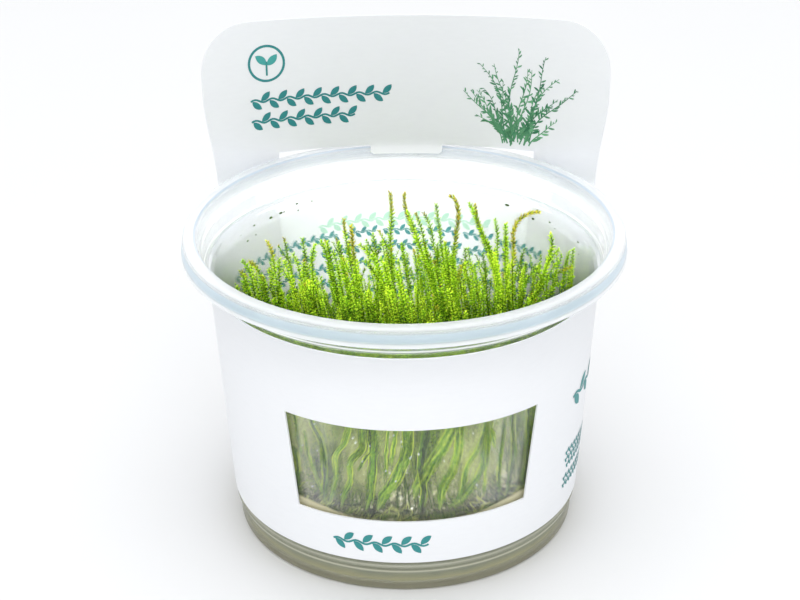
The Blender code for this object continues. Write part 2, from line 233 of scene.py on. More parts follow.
def tube_surface(centre: Array, half: Array, sides: int, values: dict[str, Array]) -> Surface:
    """A tube round a path: at each point a ring of the given half width, square to the path.

    Args:
        centre: the path's points.
        half: the tube's half width at each.
        sides: corners of each ring.
        values: named numbers, one a point of the path.

    Returns:
        An open tube whose faces look outwards.
    """
    forward = unit(np.gradient(centre, axis=0))
    side = unit(np.cross(forward, [0.31, 0.95, 0.05]))
    other = np.cross(forward, side)
    turn = np.arange(sides) * math.tau / sides
    ring = np.cos(turn)[None, :, None] * side[:, None] + np.sin(turn)[None, :, None] * other[:, None]
    points = centre[:, None] + half[:, None, None] * ring
    spread = {name: np.repeat(value[:, None], sides, axis=1) for name, value in values.items()}
    return grid_surface(points[:, ::-1], wrap=True, values=spread)


def turned_surface(profile: Array, steps: int) -> Surface:
    """A profile of (radius, height) rows turned about Z: (r cos a, r sin a, h) for each angle a.

    Args:
        profile: the rows, in order.
        steps: points round each ring.

    Returns:
        The turned surface, closed round Z.
    """
    angle = np.arange(steps) * math.tau / steps
    radius, height = profile[:, 0][:, None], profile[:, 1][:, None]
    points = np.stack([radius * np.cos(angle), radius * np.sin(angle), height + 0 * angle], axis=-1)
    return grid_surface(points, wrap=True)


def rounded(corners: Array, cut: Array, steps: int = 6) -> Array:
    """A profile with each inner corner replaced by a curve that starts and ends a cut away from it.

    The curve is (1-t)^2 A + 2t(1-t) B + t^2 C, where B is the corner and A and C lie on its two sides.

    Args:
        corners: (radius, height) rows.
        cut: how far from each inner corner its curve starts.
        steps: points on each curve.

    Returns:
        The profile with its first and last corners unchanged.
    """
    before, at, after = corners[:-2], corners[1:-1], corners[2:]
    back, ahead = before - at, after - at
    room = 0.45 * np.minimum(np.linalg.norm(back, axis=1), np.linalg.norm(ahead, axis=1))
    reach = np.minimum(cut, room)[:, None]
    start, end = at + unit(back) * reach, at + unit(ahead) * reach
    t = np.linspace(0.0, 1.0, steps)[None, :, None]
    curves = (1 - t) ** 2 * start[:, None] + 2 * t * (1 - t) * at[:, None] + t**2 * end[:, None]
    return np.concatenate([corners[:1], curves.reshape(-1, 2), corners[-1:]])


def held_straight(profile: Array, longest: float) -> Array:
    """A profile with points added near both ends of each stretch over a length, so that its shading stays flat.

    Args:
        profile: (radius, height) rows.
        longest: the length over which a stretch gets more points.

    Returns:
        The profile with the added rows.
    """
    lengths = np.linalg.norm(np.diff(profile, axis=0), axis=1)
    long = np.flatnonzero(lengths > longest)
    shares = np.array([0.04, 0.35, 0.65, 0.96])
    extra = profile[long][:, None] + (profile[long + 1] - profile[long])[:, None] * shares[None, :, None]
    return np.insert(profile, np.repeat(long + 1, len(shares)), extra.reshape(-1, 2), axis=0)


class Shading(Enum):
    """How a piece's faces meet."""

    ROUND = 180.0
    CREASED = 38.0


def add_mesh(name: str, surface: Surface) -> bpy.types.Mesh:
    """A mesh in metres from a surface in millimetres, with its values as attributes of the points.

    Args:
        name: the mesh's name.
        surface: its points, faces and values.

    Returns:
        The mesh.
    """
    mesh = bpy.data.meshes.new(name)
    size = surface.faces.shape[1]
    mesh.vertices.add(len(surface.points))
    mesh.vertices.foreach_set("co", (surface.points * MM).astype(np.float32).ravel())
    mesh.loops.add(surface.faces.size)
    mesh.loops.foreach_set("vertex_index", surface.faces.astype(np.int32).ravel())
    mesh.polygons.add(len(surface.faces))
    mesh.polygons.foreach_set("loop_start", np.arange(len(surface.faces), dtype=np.int32) * size)
    for label, numbers in surface.values.items():
        layer = mesh.attributes.new(label, "FLOAT", "POINT")
        layer.data.foreach_set("value", numbers.astype(np.float32))
    mesh.update(calc_edges=True)
    mesh.validate()
    return mesh


def add_object(name: str, data: bpy.types.ID) -> bpy.types.Object:
    """Puts a mesh, a lamp or a camera into the scene.

    Args:
        name: the object's name.
        data: what it shows.

    Returns:
        The object, at the origin.
    """
    item = bpy.data.objects.new(name, data)
    bpy.context.scene.collection.objects.link(item)
    return item


def weld(mesh: bpy.types.Mesh, outward: bool = True) -> None:
    """Merges points that coincide, which closes seams and poles, and turns a closed shell's faces outwards.

    Args:
        mesh: the mesh to change.
        outward: also turns the faces outwards.
    """
    shape = bmesh.new()
    shape.from_mesh(mesh)
    bmesh.ops.remove_doubles(shape, verts=shape.verts, dist=WELD * MM)
    if outward:
        bmesh.ops.recalc_face_normals(shape, faces=shape.faces)
    shape.to_mesh(mesh)
    shape.free()


def apply_modifiers(piece: bpy.types.Object) -> None:
    """Replaces a piece's mesh by what its modifiers make of it.

    Args:
        piece: the object whose modifiers are applied.
    """
    graph = bpy.context.evaluated_depsgraph_get()
    finished = bpy.data.meshes.new_from_object(piece.evaluated_get(graph))
    piece.modifiers.clear()
    piece.data = finished


def add_piece(
    name: str,
    surface: Surface,
    finish: Finish,
    replaces: Sequence[str] = (),
    shading: Shading = Shading.ROUND,
    closed: bool = False,
) -> bpy.types.Object:
    """Adds one piece of the object, in its finish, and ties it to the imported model.

    Args:
        name: the piece's name.
        surface: its shape.
        finish: its material.
        replaces: the CAD nodes that it stands in for.
        shading: whether its faces meet smoothly or with creases.
        closed: welds the surface into a closed shell that faces outwards.

    Returns:
        The piece's object, at the origin.
    """
    mesh = add_mesh(name, surface)
    if closed:
        weld(mesh)
    mesh.shade_smooth()
    if shading is Shading.CREASED:
        mesh.set_sharp_from_angle(angle=math.radians(shading.value))
    mesh.materials.append(finish.material())
    piece = add_object(name, mesh)
    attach(piece, "root")
    if replaces:
        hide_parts(*replaces)
    log.info("%s: %d faces", name, len(mesh.polygons))
    return piece


# Finishes


class Wiring:
    """Adds nodes to one material and joins them."""

    def __init__(self, name: str) -> None:
        """Starts a material with its Principled shader.

        Args:
            name: the material's name.
        """
        self.material = bpy.data.materials.new(name)
        self.material.use_nodes = True
        self.tree = self.material.node_tree
        self.shader = self.tree.nodes["Principled BSDF"]
        self.output = self.tree.nodes["Material Output"]
        self.place = self.node("TexCoord").outputs["Object"]

    def node(self, kind: str, inputs: dict[str | int, object] | None = None, **settings: object) -> bpy.types.Node:
        """Adds a node.

        Args:
            kind: its type, without the word ShaderNode.
            inputs: a number, colour or output for each named or numbered input.
            settings: the node's own properties.

        Returns:
            The node.
        """
        node = self.tree.nodes.new("ShaderNode" + kind)
        for name, value in settings.items():
            setattr(node, name, value)
        for socket, value in (inputs or {}).items():
            self.feed(node.inputs[socket], value)
        return node

    def feed(self, socket: Socket, value: object) -> None:
        """Joins an output to a socket, or sets the socket's own number or colour.

        Args:
            socket: the input to set.
            value: an output, a number or a colour.
        """
        if isinstance(value, Socket):
            self.tree.links.new(value, socket)
        else:
            socket.default_value = value

    def finish(self, **inputs: object) -> None:
        """Feeds the Principled shader's inputs, named with underscores for spaces."""
        for name, value in inputs.items():
            self.feed(self.shader.inputs[name.replace("_", " ")], value)

    def maths(self, operation: str, first: object, second: object = 0.0, clamp: bool = False) -> Socket:
        """One sum on one or two numbers."""
        node = self.node("Math", {0: first, 1: second}, operation=operation, use_clamp=clamp)
        return node.outputs[0]

    def noise(self, scale: float, detail: float = 3.0, stretch: Place = (1.0, 1.0, 1.0)) -> Socket:
        """Cloudy noise.

        Args:
            scale: clouds to the metre.
            detail: how many finer layers each cloud has.
            stretch: less than 1 draws the clouds out along that axis.

        Returns:
            A number round a half.
        """
        scaled = self.node("Mapping", {"Vector": self.place, "Scale": stretch})
        inputs = {"Vector": scaled.outputs[0], "Scale": scale, "Detail": detail}
        return self.node("TexNoise", inputs).outputs["Fac"]

    def value(self, name: str) -> Socket:
        """A number that the mesh's points carry."""
        return self.node("Attribute", attribute_name=name).outputs["Fac"]

    def height(self) -> Socket:
        """Height over the table, in millimetres."""
        split = self.node("SeparateXYZ", {0: self.place})
        return self.maths("MULTIPLY", split.outputs["Z"], 1 / MM)

    def radius(self) -> Socket:
        """Distance from the cup's axis, in millimetres."""
        flat = self.node("VectorMath", {0: self.place, 1: (1 / MM, 1 / MM, 0.0)}, operation="MULTIPLY")
        return self.node("VectorMath", {0: flat.outputs[0]}, operation="LENGTH").outputs["Value"]

    def span(self, value: object, low: float, high: float, smooth: bool = True) -> Socket:
        """A rise from 0 to 1.

        Args:
            value: the number to read.
            low: where the rise starts.
            high: where it ends.
            smooth: starts and ends the rise gently.

        Returns:
            A number from 0 to 1.
        """
        inputs = {"Value": value, "From Min": low, "From Max": high}
        kind = "SMOOTHSTEP" if smooth else "LINEAR"
        return self.node("MapRange", inputs, interpolation_type=kind).outputs["Result"]

    def hump(self, value: object, stops: Sequence[float]) -> Socket:
        """A rise from 0 to 1 between the first two of four stops, and a fall back to 0 between the last two."""
        return self.maths("SUBTRACT", self.span(value, *stops[:2]), self.span(value, *stops[2:]))

    def ramp(self, value: object, stops: Sequence[tuple[float, Colour]]) -> Socket:
        """A colour for a number from 0 to 1, from stops of (number, colour).

        Args:
            value: the number to read.
            stops: the colours in order.

        Returns:
            The colour.
        """
        node = self.node("ValToRGB", {0: value})
        elements = node.color_ramp.elements
        while len(elements) < len(stops):
            elements.new(1.0)
        for element, (position, colour) in zip(elements, stops):
            element.position = position
            element.color = (*colour, 1.0)
        return node.outputs["Color"]

    def blend(self, share: object, first: object, second: object) -> Socket:
        """A mix of two colours.

        Args:
            share: how much of the second there is.
            first: the one colour.
            second: the other.

        Returns:
            The mixed colour.
        """
        node = self.node("Mix", data_type="RGBA")
        for socket, value in ((0, share), (6, first), (7, second)):
            if isinstance(value, tuple):
                value = (*value, 1.0)
            self.feed(node.inputs[socket], value)
        return node.outputs[2]

    def bump(self, height: object, strength: float, depth: float) -> Socket:
        """A relief of the given depth in metres."""
        inputs = {"Height": height, "Strength": strength, "Distance": depth}
        return self.node("Bump", inputs).outputs["Normal"]


@dataclass(frozen=True)
class Finish:
    """A named look. Each is made into a material once."""

    name: str

    def material(self) -> bpy.types.Material:
        """The material, made on first use.

        Returns:
            The material, which all pieces with this look share.
        """
        made = bpy.data.materials.get(self.name)
        if made is None:
            wiring = Wiring(self.name)
            self.wire(wiring)
            made = wiring.material
        return made

    def wire(self, nodes: Wiring) -> None:
        """Builds the look's nodes."""
        raise NotImplementedError


@dataclass(frozen=True)
class ClearPlastic(Finish):
    """Thin moulded plastic: clear on the wall, and milky where it is thick, at the rim, the ledge and the foot. The
    milky colours also carry painted light: bright rows and rings paint highlights, and dark ones paint shade.

    Each ring is where the plastic bends: its four radii and four heights, from where it starts to full and from
    where it fades to its end, then its share and its colour, a painted shade or highlight.
    """

    tint: Colour
    clearness: float
    see_straight: float
    milk_and_painted_light: tuple[tuple[float, float, Colour], ...]
    rings: tuple[tuple[Sequence[float], Sequence[float], float, Colour], ...]
    scuffs: float = 260.0
    smoothest: float = 0.04
    roughest: float = 0.16

    def milky(self, nodes: Wiring) -> tuple[Socket, Socket]:
        """How milky the plastic is and in what colour, painted highlights and shade included: the rows of
        (height, share, colour) in milk_and_painted_light, then the rings.

        Args:
            nodes: the material's wiring.

        Returns:
            The share of milky plastic and painted light, and its colour.
        """
        low, high = self.milk_and_painted_light[0][0], self.milk_and_painted_light[-1][0]
        position = nodes.span(nodes.height(), low, high, smooth=False)
        place = [(height - low) / (high - low) for height, _, _ in self.milk_and_painted_light]
        shares = [(p, (share, share, share)) for p, (_, share, _) in zip(place, self.milk_and_painted_light)]
        colours = [(p, colour) for p, (_, _, colour) in zip(place, self.milk_and_painted_light)]
        share, colour = nodes.ramp(position, shares), nodes.ramp(position, colours)
        for radii, heights, most, painted_ring_colour in self.rings:
            across, up = nodes.hump(nodes.radius(), radii), nodes.hump(nodes.height(), heights)
            ring = nodes.maths("MULTIPLY", across, up, clamp=True)
            share = nodes.maths("MAXIMUM", share, nodes.maths("MULTIPLY", ring, most))
            colour = nodes.blend(ring, colour, painted_ring_colour)
        return share, colour

    def wire(self, nodes: Wiring) -> None:
        """Scuffs blur the gloss, part of the light passes straight through, and height sets the milkiness and its
        painted highlights and shade.

        Args:
            nodes: the material's wiring.
        """
        scuffs = nodes.noise(self.scuffs, 5.0, (1, 1, 0.35))
        rough = nodes.node("MapRange", {"Value": scuffs, "To Min": self.smoothest, "To Max": self.roughest})
        nodes.finish(
            Base_Color=nodes.blend(scuffs, tuple(0.97 * c for c in self.tint), self.tint),
            Roughness=rough.outputs["Result"],
            Transmission_Weight=self.clearness,
            IOR=1.45,
        )
        straight = nodes.node("BsdfTransparent", {"Color": (1.0, 1.0, 1.0, 1.0)})
        thin = nodes.node("MixShader", {0: self.see_straight, 1: nodes.shader.outputs[0], 2: straight.outputs[0]})
        share, colour = self.milky(nodes)
        milk_and_painted_light = nodes.node("BsdfPrincipled", {"Base Color": colour, "Roughness": 0.3})
        both = nodes.node("MixShader", {0: share, 1: thin.outputs[0], 2: milk_and_painted_light.outputs[0]})
        nodes.feed(nodes.output.inputs["Surface"], both.outputs[0])


@dataclass(frozen=True)
class SetGel(Finish):
    """Cloudy set gel: pale on top, greyer and darker just over the foot, olive at the bottom.

    The darker band over the foot is partly a painted shadow under the cup's bead and partly the gel edge's own tone.
    """

    stops: tuple[tuple[float, Colour], ...]
    clearness: float
    clouds: float = 150.0
    drift: float = 2.0
    deepest: float = 20.0

    def wire(self, nodes: Wiring) -> None:
        """Height sets the colour, and clouds shift the height by up to a millimetre.

        Args:
            nodes: the material's wiring.
        """
        shift = nodes.maths("SUBTRACT", nodes.noise(self.clouds, 4.0), 0.5)
        level = nodes.maths("ADD", nodes.height(), nodes.maths("MULTIPLY", shift, self.drift))
        nodes.finish(
            Base_Color=nodes.ramp(nodes.maths("MULTIPLY", level, 1 / self.deepest), self.stops),
            Roughness=0.22,
            Transmission_Weight=self.clearness,
            IOR=1.34,
            Normal=nodes.bump(nodes.noise(400, 3.0), 0.3, 0.0002),
        )


@dataclass(frozen=True)
class CoatedCard(Finish):
    """White coated card with a faint fibre grain along its width."""

    white: Colour
    shade: Colour
    fibres: float = 1500.0
    patches: float = 40.0

    def wire(self, nodes: Wiring) -> None:
        """Long flat clouds make the fibres, and wide ones a slight unevenness of tone.

        Args:
            nodes: the material's wiring.
        """
        fibres = nodes.noise(self.fibres, 4.0, (0.25, 0.25, 1.0))
        tone = nodes.noise(self.patches, 3.0)
        nodes.finish(
            Base_Color=nodes.blend(nodes.maths("MULTIPLY", tone, fibres), self.white, self.shade),
            Roughness=0.5,
            Specular_IOR_Level=0.35,
            Normal=nodes.bump(fibres, 0.2, 0.00004),
        )


@dataclass(frozen=True)
class Ink(Finish):
    """Printed ink, between two colours by the value that each shape carries."""

    dark: Colour
    light: Colour
    grain: float = 2600.0
    unevenness: float = 0.3

    def wire(self, nodes: Wiring) -> None:
        """The card's grain breaks the ink up slightly.

        Args:
            nodes: the material's wiring.
        """
        grain = nodes.maths("MULTIPLY", nodes.noise(self.grain, 3.0), self.unevenness)
        tone = nodes.maths("ADD", nodes.value("tone"), grain)
        tone = nodes.maths("SUBTRACT", tone, self.unevenness / 2, clamp=True)
        nodes.finish(
            Base_Color=nodes.blend(tone, self.dark, self.light),
            Roughness=0.45,
            Specular_IOR_Level=0.35,
        )


@dataclass(frozen=True)
class MossLeaf(Finish):
    """Thin moss leaves: dark within, yellow-green towards the tips, some tips brown. The dark leaf roots and keels
    are painted shade, and the bright leaf points are painted highlights.
    """

    deep: Colour
    fresh: Colour
    bright: Colour
    withered: tuple[Colour, Colour]
    see_through: float
    grain: float = 900.0
    spots: float = 0.8

    def wire(self, nodes: Wiring) -> None:
        """Height along the shoot and the place on the leaf set the green, with painted shade at each leaf's root and
        keel and a painted highlight at its point, and light comes through the leaves.

        Args:
            nodes: the material's wiring.
        """
        spots = nodes.noise(self.grain, 2.0, (1, 1, 0.6))
        light = nodes.maths("ADD", nodes.value("light"), nodes.maths("MULTIPLY", spots, self.spots))
        light = nodes.maths("SUBTRACT", light, self.spots / 2, clamp=True)
        green = nodes.ramp(light, [(0.08, self.deep), (0.44, self.fresh), (0.85, self.bright)])
        brown = nodes.ramp(light, [(0.1, self.withered[0]), (0.9, self.withered[1])])
        colour = nodes.blend(nodes.value("wither"), green, brown)
        nodes.finish(Base_Color=colour, Roughness=0.45, Specular_IOR_Level=0.25)
        glow = nodes.node("BsdfTranslucent", {"Color": colour})
        both = nodes.node("MixShader", {0: self.see_through, 1: nodes.shader.outputs[0], 2: glow.outputs[0]})
        nodes.feed(nodes.output.inputs["Surface"], both.outputs[0])


@dataclass(frozen=True)
class Mist(Finish):
    """Condensation on the inside of the wall: a patchy milky film that thins out upwards and to the back."""

    colour: Colour
    thinnest: float
    thickest: float
    clouds: float = 110.0
    beads: float = 1700.0
    heights: tuple[float, ...] = (20.5, 28.5, 40.0, 47.0)
    depths: tuple[float, float] = (8.0, 24.0)

    def wire(self, nodes: Wiring) -> None:
        """Clouds, fine beads, height and the distance from the front set how much the film hides.

        Args:
            nodes: the material's wiring.
        """
        clouds = nodes.span(nodes.noise(self.clouds, 4.0, (1, 1, 0.5)), 0.38, 0.62)
        beads = nodes.span(nodes.noise(self.beads, 2.0), 0.45, 0.6)
        depth = nodes.maths("MULTIPLY", nodes.node("SeparateXYZ", {0: nodes.place}).outputs["Y"], -1 / MM)
        cover = nodes.node("MapRange", {"Value": clouds, "To Min": self.thinnest, "To Max": self.thickest})
        grain = nodes.node("MapRange", {"Value": beads, "To Min": 0.8, "To Max": 1.2})
        dense = nodes.maths("MULTIPLY", cover.outputs["Result"], grain.outputs["Result"])
        where = nodes.maths("MULTIPLY", nodes.hump(nodes.height(), self.heights), nodes.span(depth, *self.depths))
        cover = nodes.maths("MULTIPLY", dense, where, clamp=True)
        nodes.finish(Base_Color=(*self.colour, 1.0), Roughness=0.5, Alpha=cover)


@dataclass(frozen=True)
class WaterWithPaintedGlint(Finish):
    """Small beads of water, bright against the moss, coloured near white as a painted highlight for their glints."""

    colour: Colour

    def wire(self, nodes: Wiring) -> None:
        """Glossy and nearly white, a painted highlight."""
        nodes.finish(Base_Color=(*self.colour, 1.0), Roughness=0.1, IOR=1.33)


CLEAR_CUP = ClearPlastic(
    "clear_plastic_cup",
    tint=(0.965, 0.985, 1.0),
    clearness=0.95,
    see_straight=0.5,
    milk_and_painted_light=(
        # Rows of (height, share, colour): at the foot, the gel's beige is painted over the foot's dark edge. At the
        # bead, the dark row at 4.6 is painted shade under it, and the bright rows at 5.1 and 6.6 are painted
        # highlights on its edges. At the rim there is a milky haze, with whiter rows at the skirt's lower edge and at
        # the crown as painted highlights
        (0.0, 0.30, (0.52, 0.49, 0.30)),
        (4.6, 0.35, (0.34, 0.36, 0.28)),
        (5.1, 0.65, (0.76, 0.74, 0.58)),
        (5.5, 0.25, (0.42, 0.43, 0.33)),
        (6.2, 0.25, (0.42, 0.43, 0.33)),
        (6.6, 0.55, (0.66, 0.66, 0.54)),
        (7.0, 0.15, (0.55, 0.56, 0.46)),
        (9.0, 0.00, (0.80, 0.85, 0.85)),
        (59.5, 0.00, (0.85, 0.90, 0.90)),
        (60.6, 0.05, (0.85, 0.90, 0.92)),
        (63.4, 0.10, (0.95, 0.97, 1.0)),
        (63.7, 0.60, (0.97, 0.98, 1.0)),
        (64.2, 0.55, (0.97, 0.98, 1.0)),
        (65.0, 0.22, (0.95, 0.97, 1.0)),
        (67.0, 0.22, (0.95, 0.97, 1.0)),
        (67.6, 0.45, (0.97, 0.98, 1.0)),
        (68.0, 0.35, (0.97, 0.98, 1.0)),
    ),
    rings=(
        # Rings: the skirt's steel blue is painted shade of the card behind it, over a slight blue tint. The blue on
        # the lip's inner face is painted shade. The grey ring at the ledge step is a painted shadow line. The white
        # ring on the ledge's outer corner is a painted highlight
        ((46.2, 46.8, 48.0, 49.0), (64.2, 64.9, 66.2, 67.0), 0.6, (0.54, 0.67, 0.76)),
        ((44.2, 44.4, 44.6, 44.8), (66.6, 67.0, 70.0, 71.0), 0.6, (0.48, 0.57, 0.68)),
        ((42.1, 42.3, 42.5, 42.7), (59.5, 59.7, 60.1, 60.3), 0.5, (0.42, 0.48, 0.46)),
        ((42.5, 42.7, 43.4, 43.6), (59.6, 59.8, 60.5, 60.9), 0.8, (0.97, 0.98, 0.97)),
    ),
)
SET_GEL = SetGel(
    "set_gel",
    stops=(
        (0.05, (0.56, 0.52, 0.20)),
        (0.13, (0.48, 0.45, 0.20)),
        # A darker band just over the foot: partly a painted shadow under the cup's bead, partly the gel edge's own
        # tone
        (0.22, (0.22, 0.24, 0.14)),
        (0.45, (0.29, 0.30, 0.16)),
        (0.9, (1.0, 0.94, 0.62)),
    ),
    clearness=0.15,
)
WHITE_CARD = CoatedCard("white_card_stock", white=(0.81, 0.82, 0.84), shade=(0.755, 0.765, 0.785))
TEAL_INK = Ink("teal_ink", dark=(0.02, 0.20, 0.21), light=(0.06, 0.36, 0.34))
GREEN_INK = Ink("green_ink", dark=(0.01, 0.13, 0.06), light=(0.16, 0.42, 0.22))
PRINT_THROUGH_INK = Ink("print_through_green_ink", dark=(0.36, 0.60, 0.46), light=(0.44, 0.66, 0.54))
MOSS = MossLeaf(
    "moss_leaves",
    deep=(0.008, 0.035, 0.001),
    fresh=(0.22, 0.58, 0.003),
    bright=(0.84, 1.0, 0.06),
    withered=((0.03, 0.02, 0.002), (0.76, 0.66, 0.06)),
    see_through=0.28,
)
STEEPED = MossLeaf(
    "pressed_moss",
    deep=(0.03, 0.08, 0.005),
    fresh=(0.24, 0.54, 0.012),
    bright=(0.84, 0.98, 0.10),
    withered=((0.04, 0.04, 0.015), (0.80, 0.74, 0.38)),
    see_through=0.25,
    grain=2400.0,
)
MIST = Mist("mist_on_wall", colour=(0.84, 0.88, 0.34), thinnest=0.0, thickest=0.52)
WATER_PAINTED_GLINT = WaterWithPaintedGlint("water_beads_painted_glint", colour=(0.98, 1.0, 0.98))


# Cup, gel and mist


@dataclass(frozen=True)
class Cup:
    """The clear cup, turned from one profile. Sizes in millimetres, as in the CAD."""

    height: float = 68.0
    rim_radius: float = 47.5
    rim_top_radius: float = 46.9
    lip_radius: float = 44.5
    rim_skirt: float = 4.4
    rim_crown: float = 0.3
    wall: float = 0.7
    base_radius: float = 37.0
    base_thickness: float = 1.2
    taper: float = 0.0717
    ledge_height: float = 59.6
    ledge_step: float = 1.3
    bead_low: float = 5.5
    bead_high: float = 6.8
    bead_stands: float = 0.5
    steps: int = 240

    def wall_radius(self, height: Array | float) -> Array | float:
        """Outer radius of the tapered wall."""
        return self.base_radius + self.taper * height

    def inner_radius(self, height: Array | float) -> Array | float:
        """Inner radius of the tapered wall."""
        return self.wall_radius(height) - self.wall

    def profile(self) -> Array:
        """From the middle of the floor up the inside, over the rim and down the outside, with soft corners.

        Returns:
            (radius, height) rows.
        """
        top, lip, rim = self.height, self.lip_radius, self.rim_top_radius
        wall, stands, outer = self.wall, self.bead_stands, self.wall_radius
        ledge, crown, skirt = self.ledge_height, top - self.rim_crown, top - self.rim_skirt
        low, high = self.bead_low, self.bead_high
        corners = np.array(
            [
                (0.0, self.base_thickness, 0.0),
                (outer(0) - wall, self.base_thickness, 1.0),
                (self.inner_radius(ledge), ledge, 0.5),
                (self.inner_radius(ledge) + self.ledge_step, ledge + wall, 0.5),
                (lip - wall, top - 2 * wall, 0.6),
                (lip, crown, 0.4),
                ((lip + rim) / 2, top, 0.6),
                (rim, crown, 0.35),
                (self.rim_radius, skirt, 0.15),
                (self.rim_radius - wall, skirt, 0.15),
                (rim - wall, crown - wall, 0.3),
                (lip + wall, crown - wall, 0.3),
                (lip, top - 3 * wall, 0.5),
                (outer(ledge) + self.ledge_step, ledge + wall / 2, 0.5),
                (outer(ledge), ledge - wall / 2, 0.5),
                (outer(high), high, 0.25),
                (outer(high) + stands, high - stands, 0.25),
                (outer(low) + stands, low + stands, 0.25),
                (outer(low), low, 0.25),
                (outer(0), 0.0, 1.0),
                (0.0, 0.0, 0.0),
            ]
        )
        return held_straight(rounded(corners[:, :2], corners[1:-1, 2]), 4.0)

    def build(self) -> None:
        """The cup's own piece."""
        surface = turned_surface(self.profile(), self.steps)
        add_piece("clear_cup", surface, CLEAR_CUP, ["cup"], closed=True)


@dataclass(frozen=True)
class Gel:
    """The set gel, which meets the cup's wall and creeps a little up it."""

    cup: Cup
    top: float = 19.3
    creep: float = 0.7
    creep_width: float = 2.4
    clear: float = 0.05
    ripple: float = 0.18
    dip_depth: float = 2.4
    dip_radii: tuple[float, float] = (29.0, 35.0)
    dip_middle: float = 3.0
    dip_reach: float = 29.0
    steps: int = 160

    def dip_share(self, angle: Array | float) -> Array | float:
        """How much of the dip there is, at degrees from the front: exp(-((angle - middle) / reach)^4)."""
        return np.exp(-(((angle - self.dip_middle) / self.dip_reach) ** 4))

    def dip(self, x: Array, y: Array) -> Array:
        """How far the gel's edge sinks behind the middle of the window, where old moss has grown into it.

        Args:
            x: places across.
            y: places towards the back.

        Returns:
            How far down each place moves.
        """
        angle = np.degrees(np.arctan2(x, -y))
        return self.dip_depth * self.dip_share(angle) * rise(np.hypot(x, y), *self.dip_radii)

    def build(self) -> None:
        """A turned shape whose top swells and sinks a little, by sines of x and y that shift each other."""
        floor = self.cup.base_thickness + self.clear

        def side(height: float) -> float:
            """Radius where the gel meets the wall."""
            return self.cup.inner_radius(height) - self.clear

        rings = np.linspace(0.0, side(self.top) - self.creep_width, 28)
        flat = np.stack([rings, np.full(28, self.top)], axis=1)
        lift = np.linspace(0.0, 1.0, 7)[1:]
        edge_top = self.top + self.creep
        edge = np.stack([between(rings[-1], side(edge_top), lift), self.top + self.creep * lift**2.2], axis=1)
        down = np.array(
            [(side(12.0), 12.0), (side(floor + 1.0), floor + 1.0), (side(floor) - 1.0, floor), (0.0, floor)]
        )
        surface = turned_surface(np.concatenate([flat, edge, down]), self.steps)
        x, y, z = surface.points.T
        ripple = np.sin(0.31 * x + 1.7 * np.sin(0.17 * y)) * np.cos(0.27 * y + 0.9 * np.sin(0.23 * x))
        on_top = z > self.top - 0.1
        surface.points[:, 2] += (self.ripple * ripple * (np.hypot(x, y) < rings[-1]) - self.dip(x, y)) * on_top
        add_piece("gel_disc", surface, SET_GEL, ["nutrient_gel"], Shading.CREASED, closed=True)


@dataclass(frozen=True)
class WallMist:
    """Condensation on the inside of the cup's wall, over the gel."""

    cup: Cup
    low: float = 18.4
    high: float = 48.0
    clear: float = 0.35
    steps: int = 160

    def build(self) -> None:
        """A thin film: the wall's inner cone, drawn in so far that only the fronds pressed on the wall break it."""
        height = np.linspace(self.low, self.high, 40)
        profile = np.stack([self.cup.inner_radius(height) - self.clear, height], axis=1)
        add_piece("wall_mist", turned_surface(profile, self.steps), MIST)


# Card sleeve and its print


class Strip(IntEnum):
    """The sheet's strips, from the panel's one edge all the way round to it again."""

    FIRST_NECK = 0
    FIRST_SLOT = 1
    TONGUE = 2
    SECOND_SLOT = 3
    SECOND_NECK = 4
    SECOND_SIDE = 5
    WINDOW = 6
    FIRST_SIDE = 7


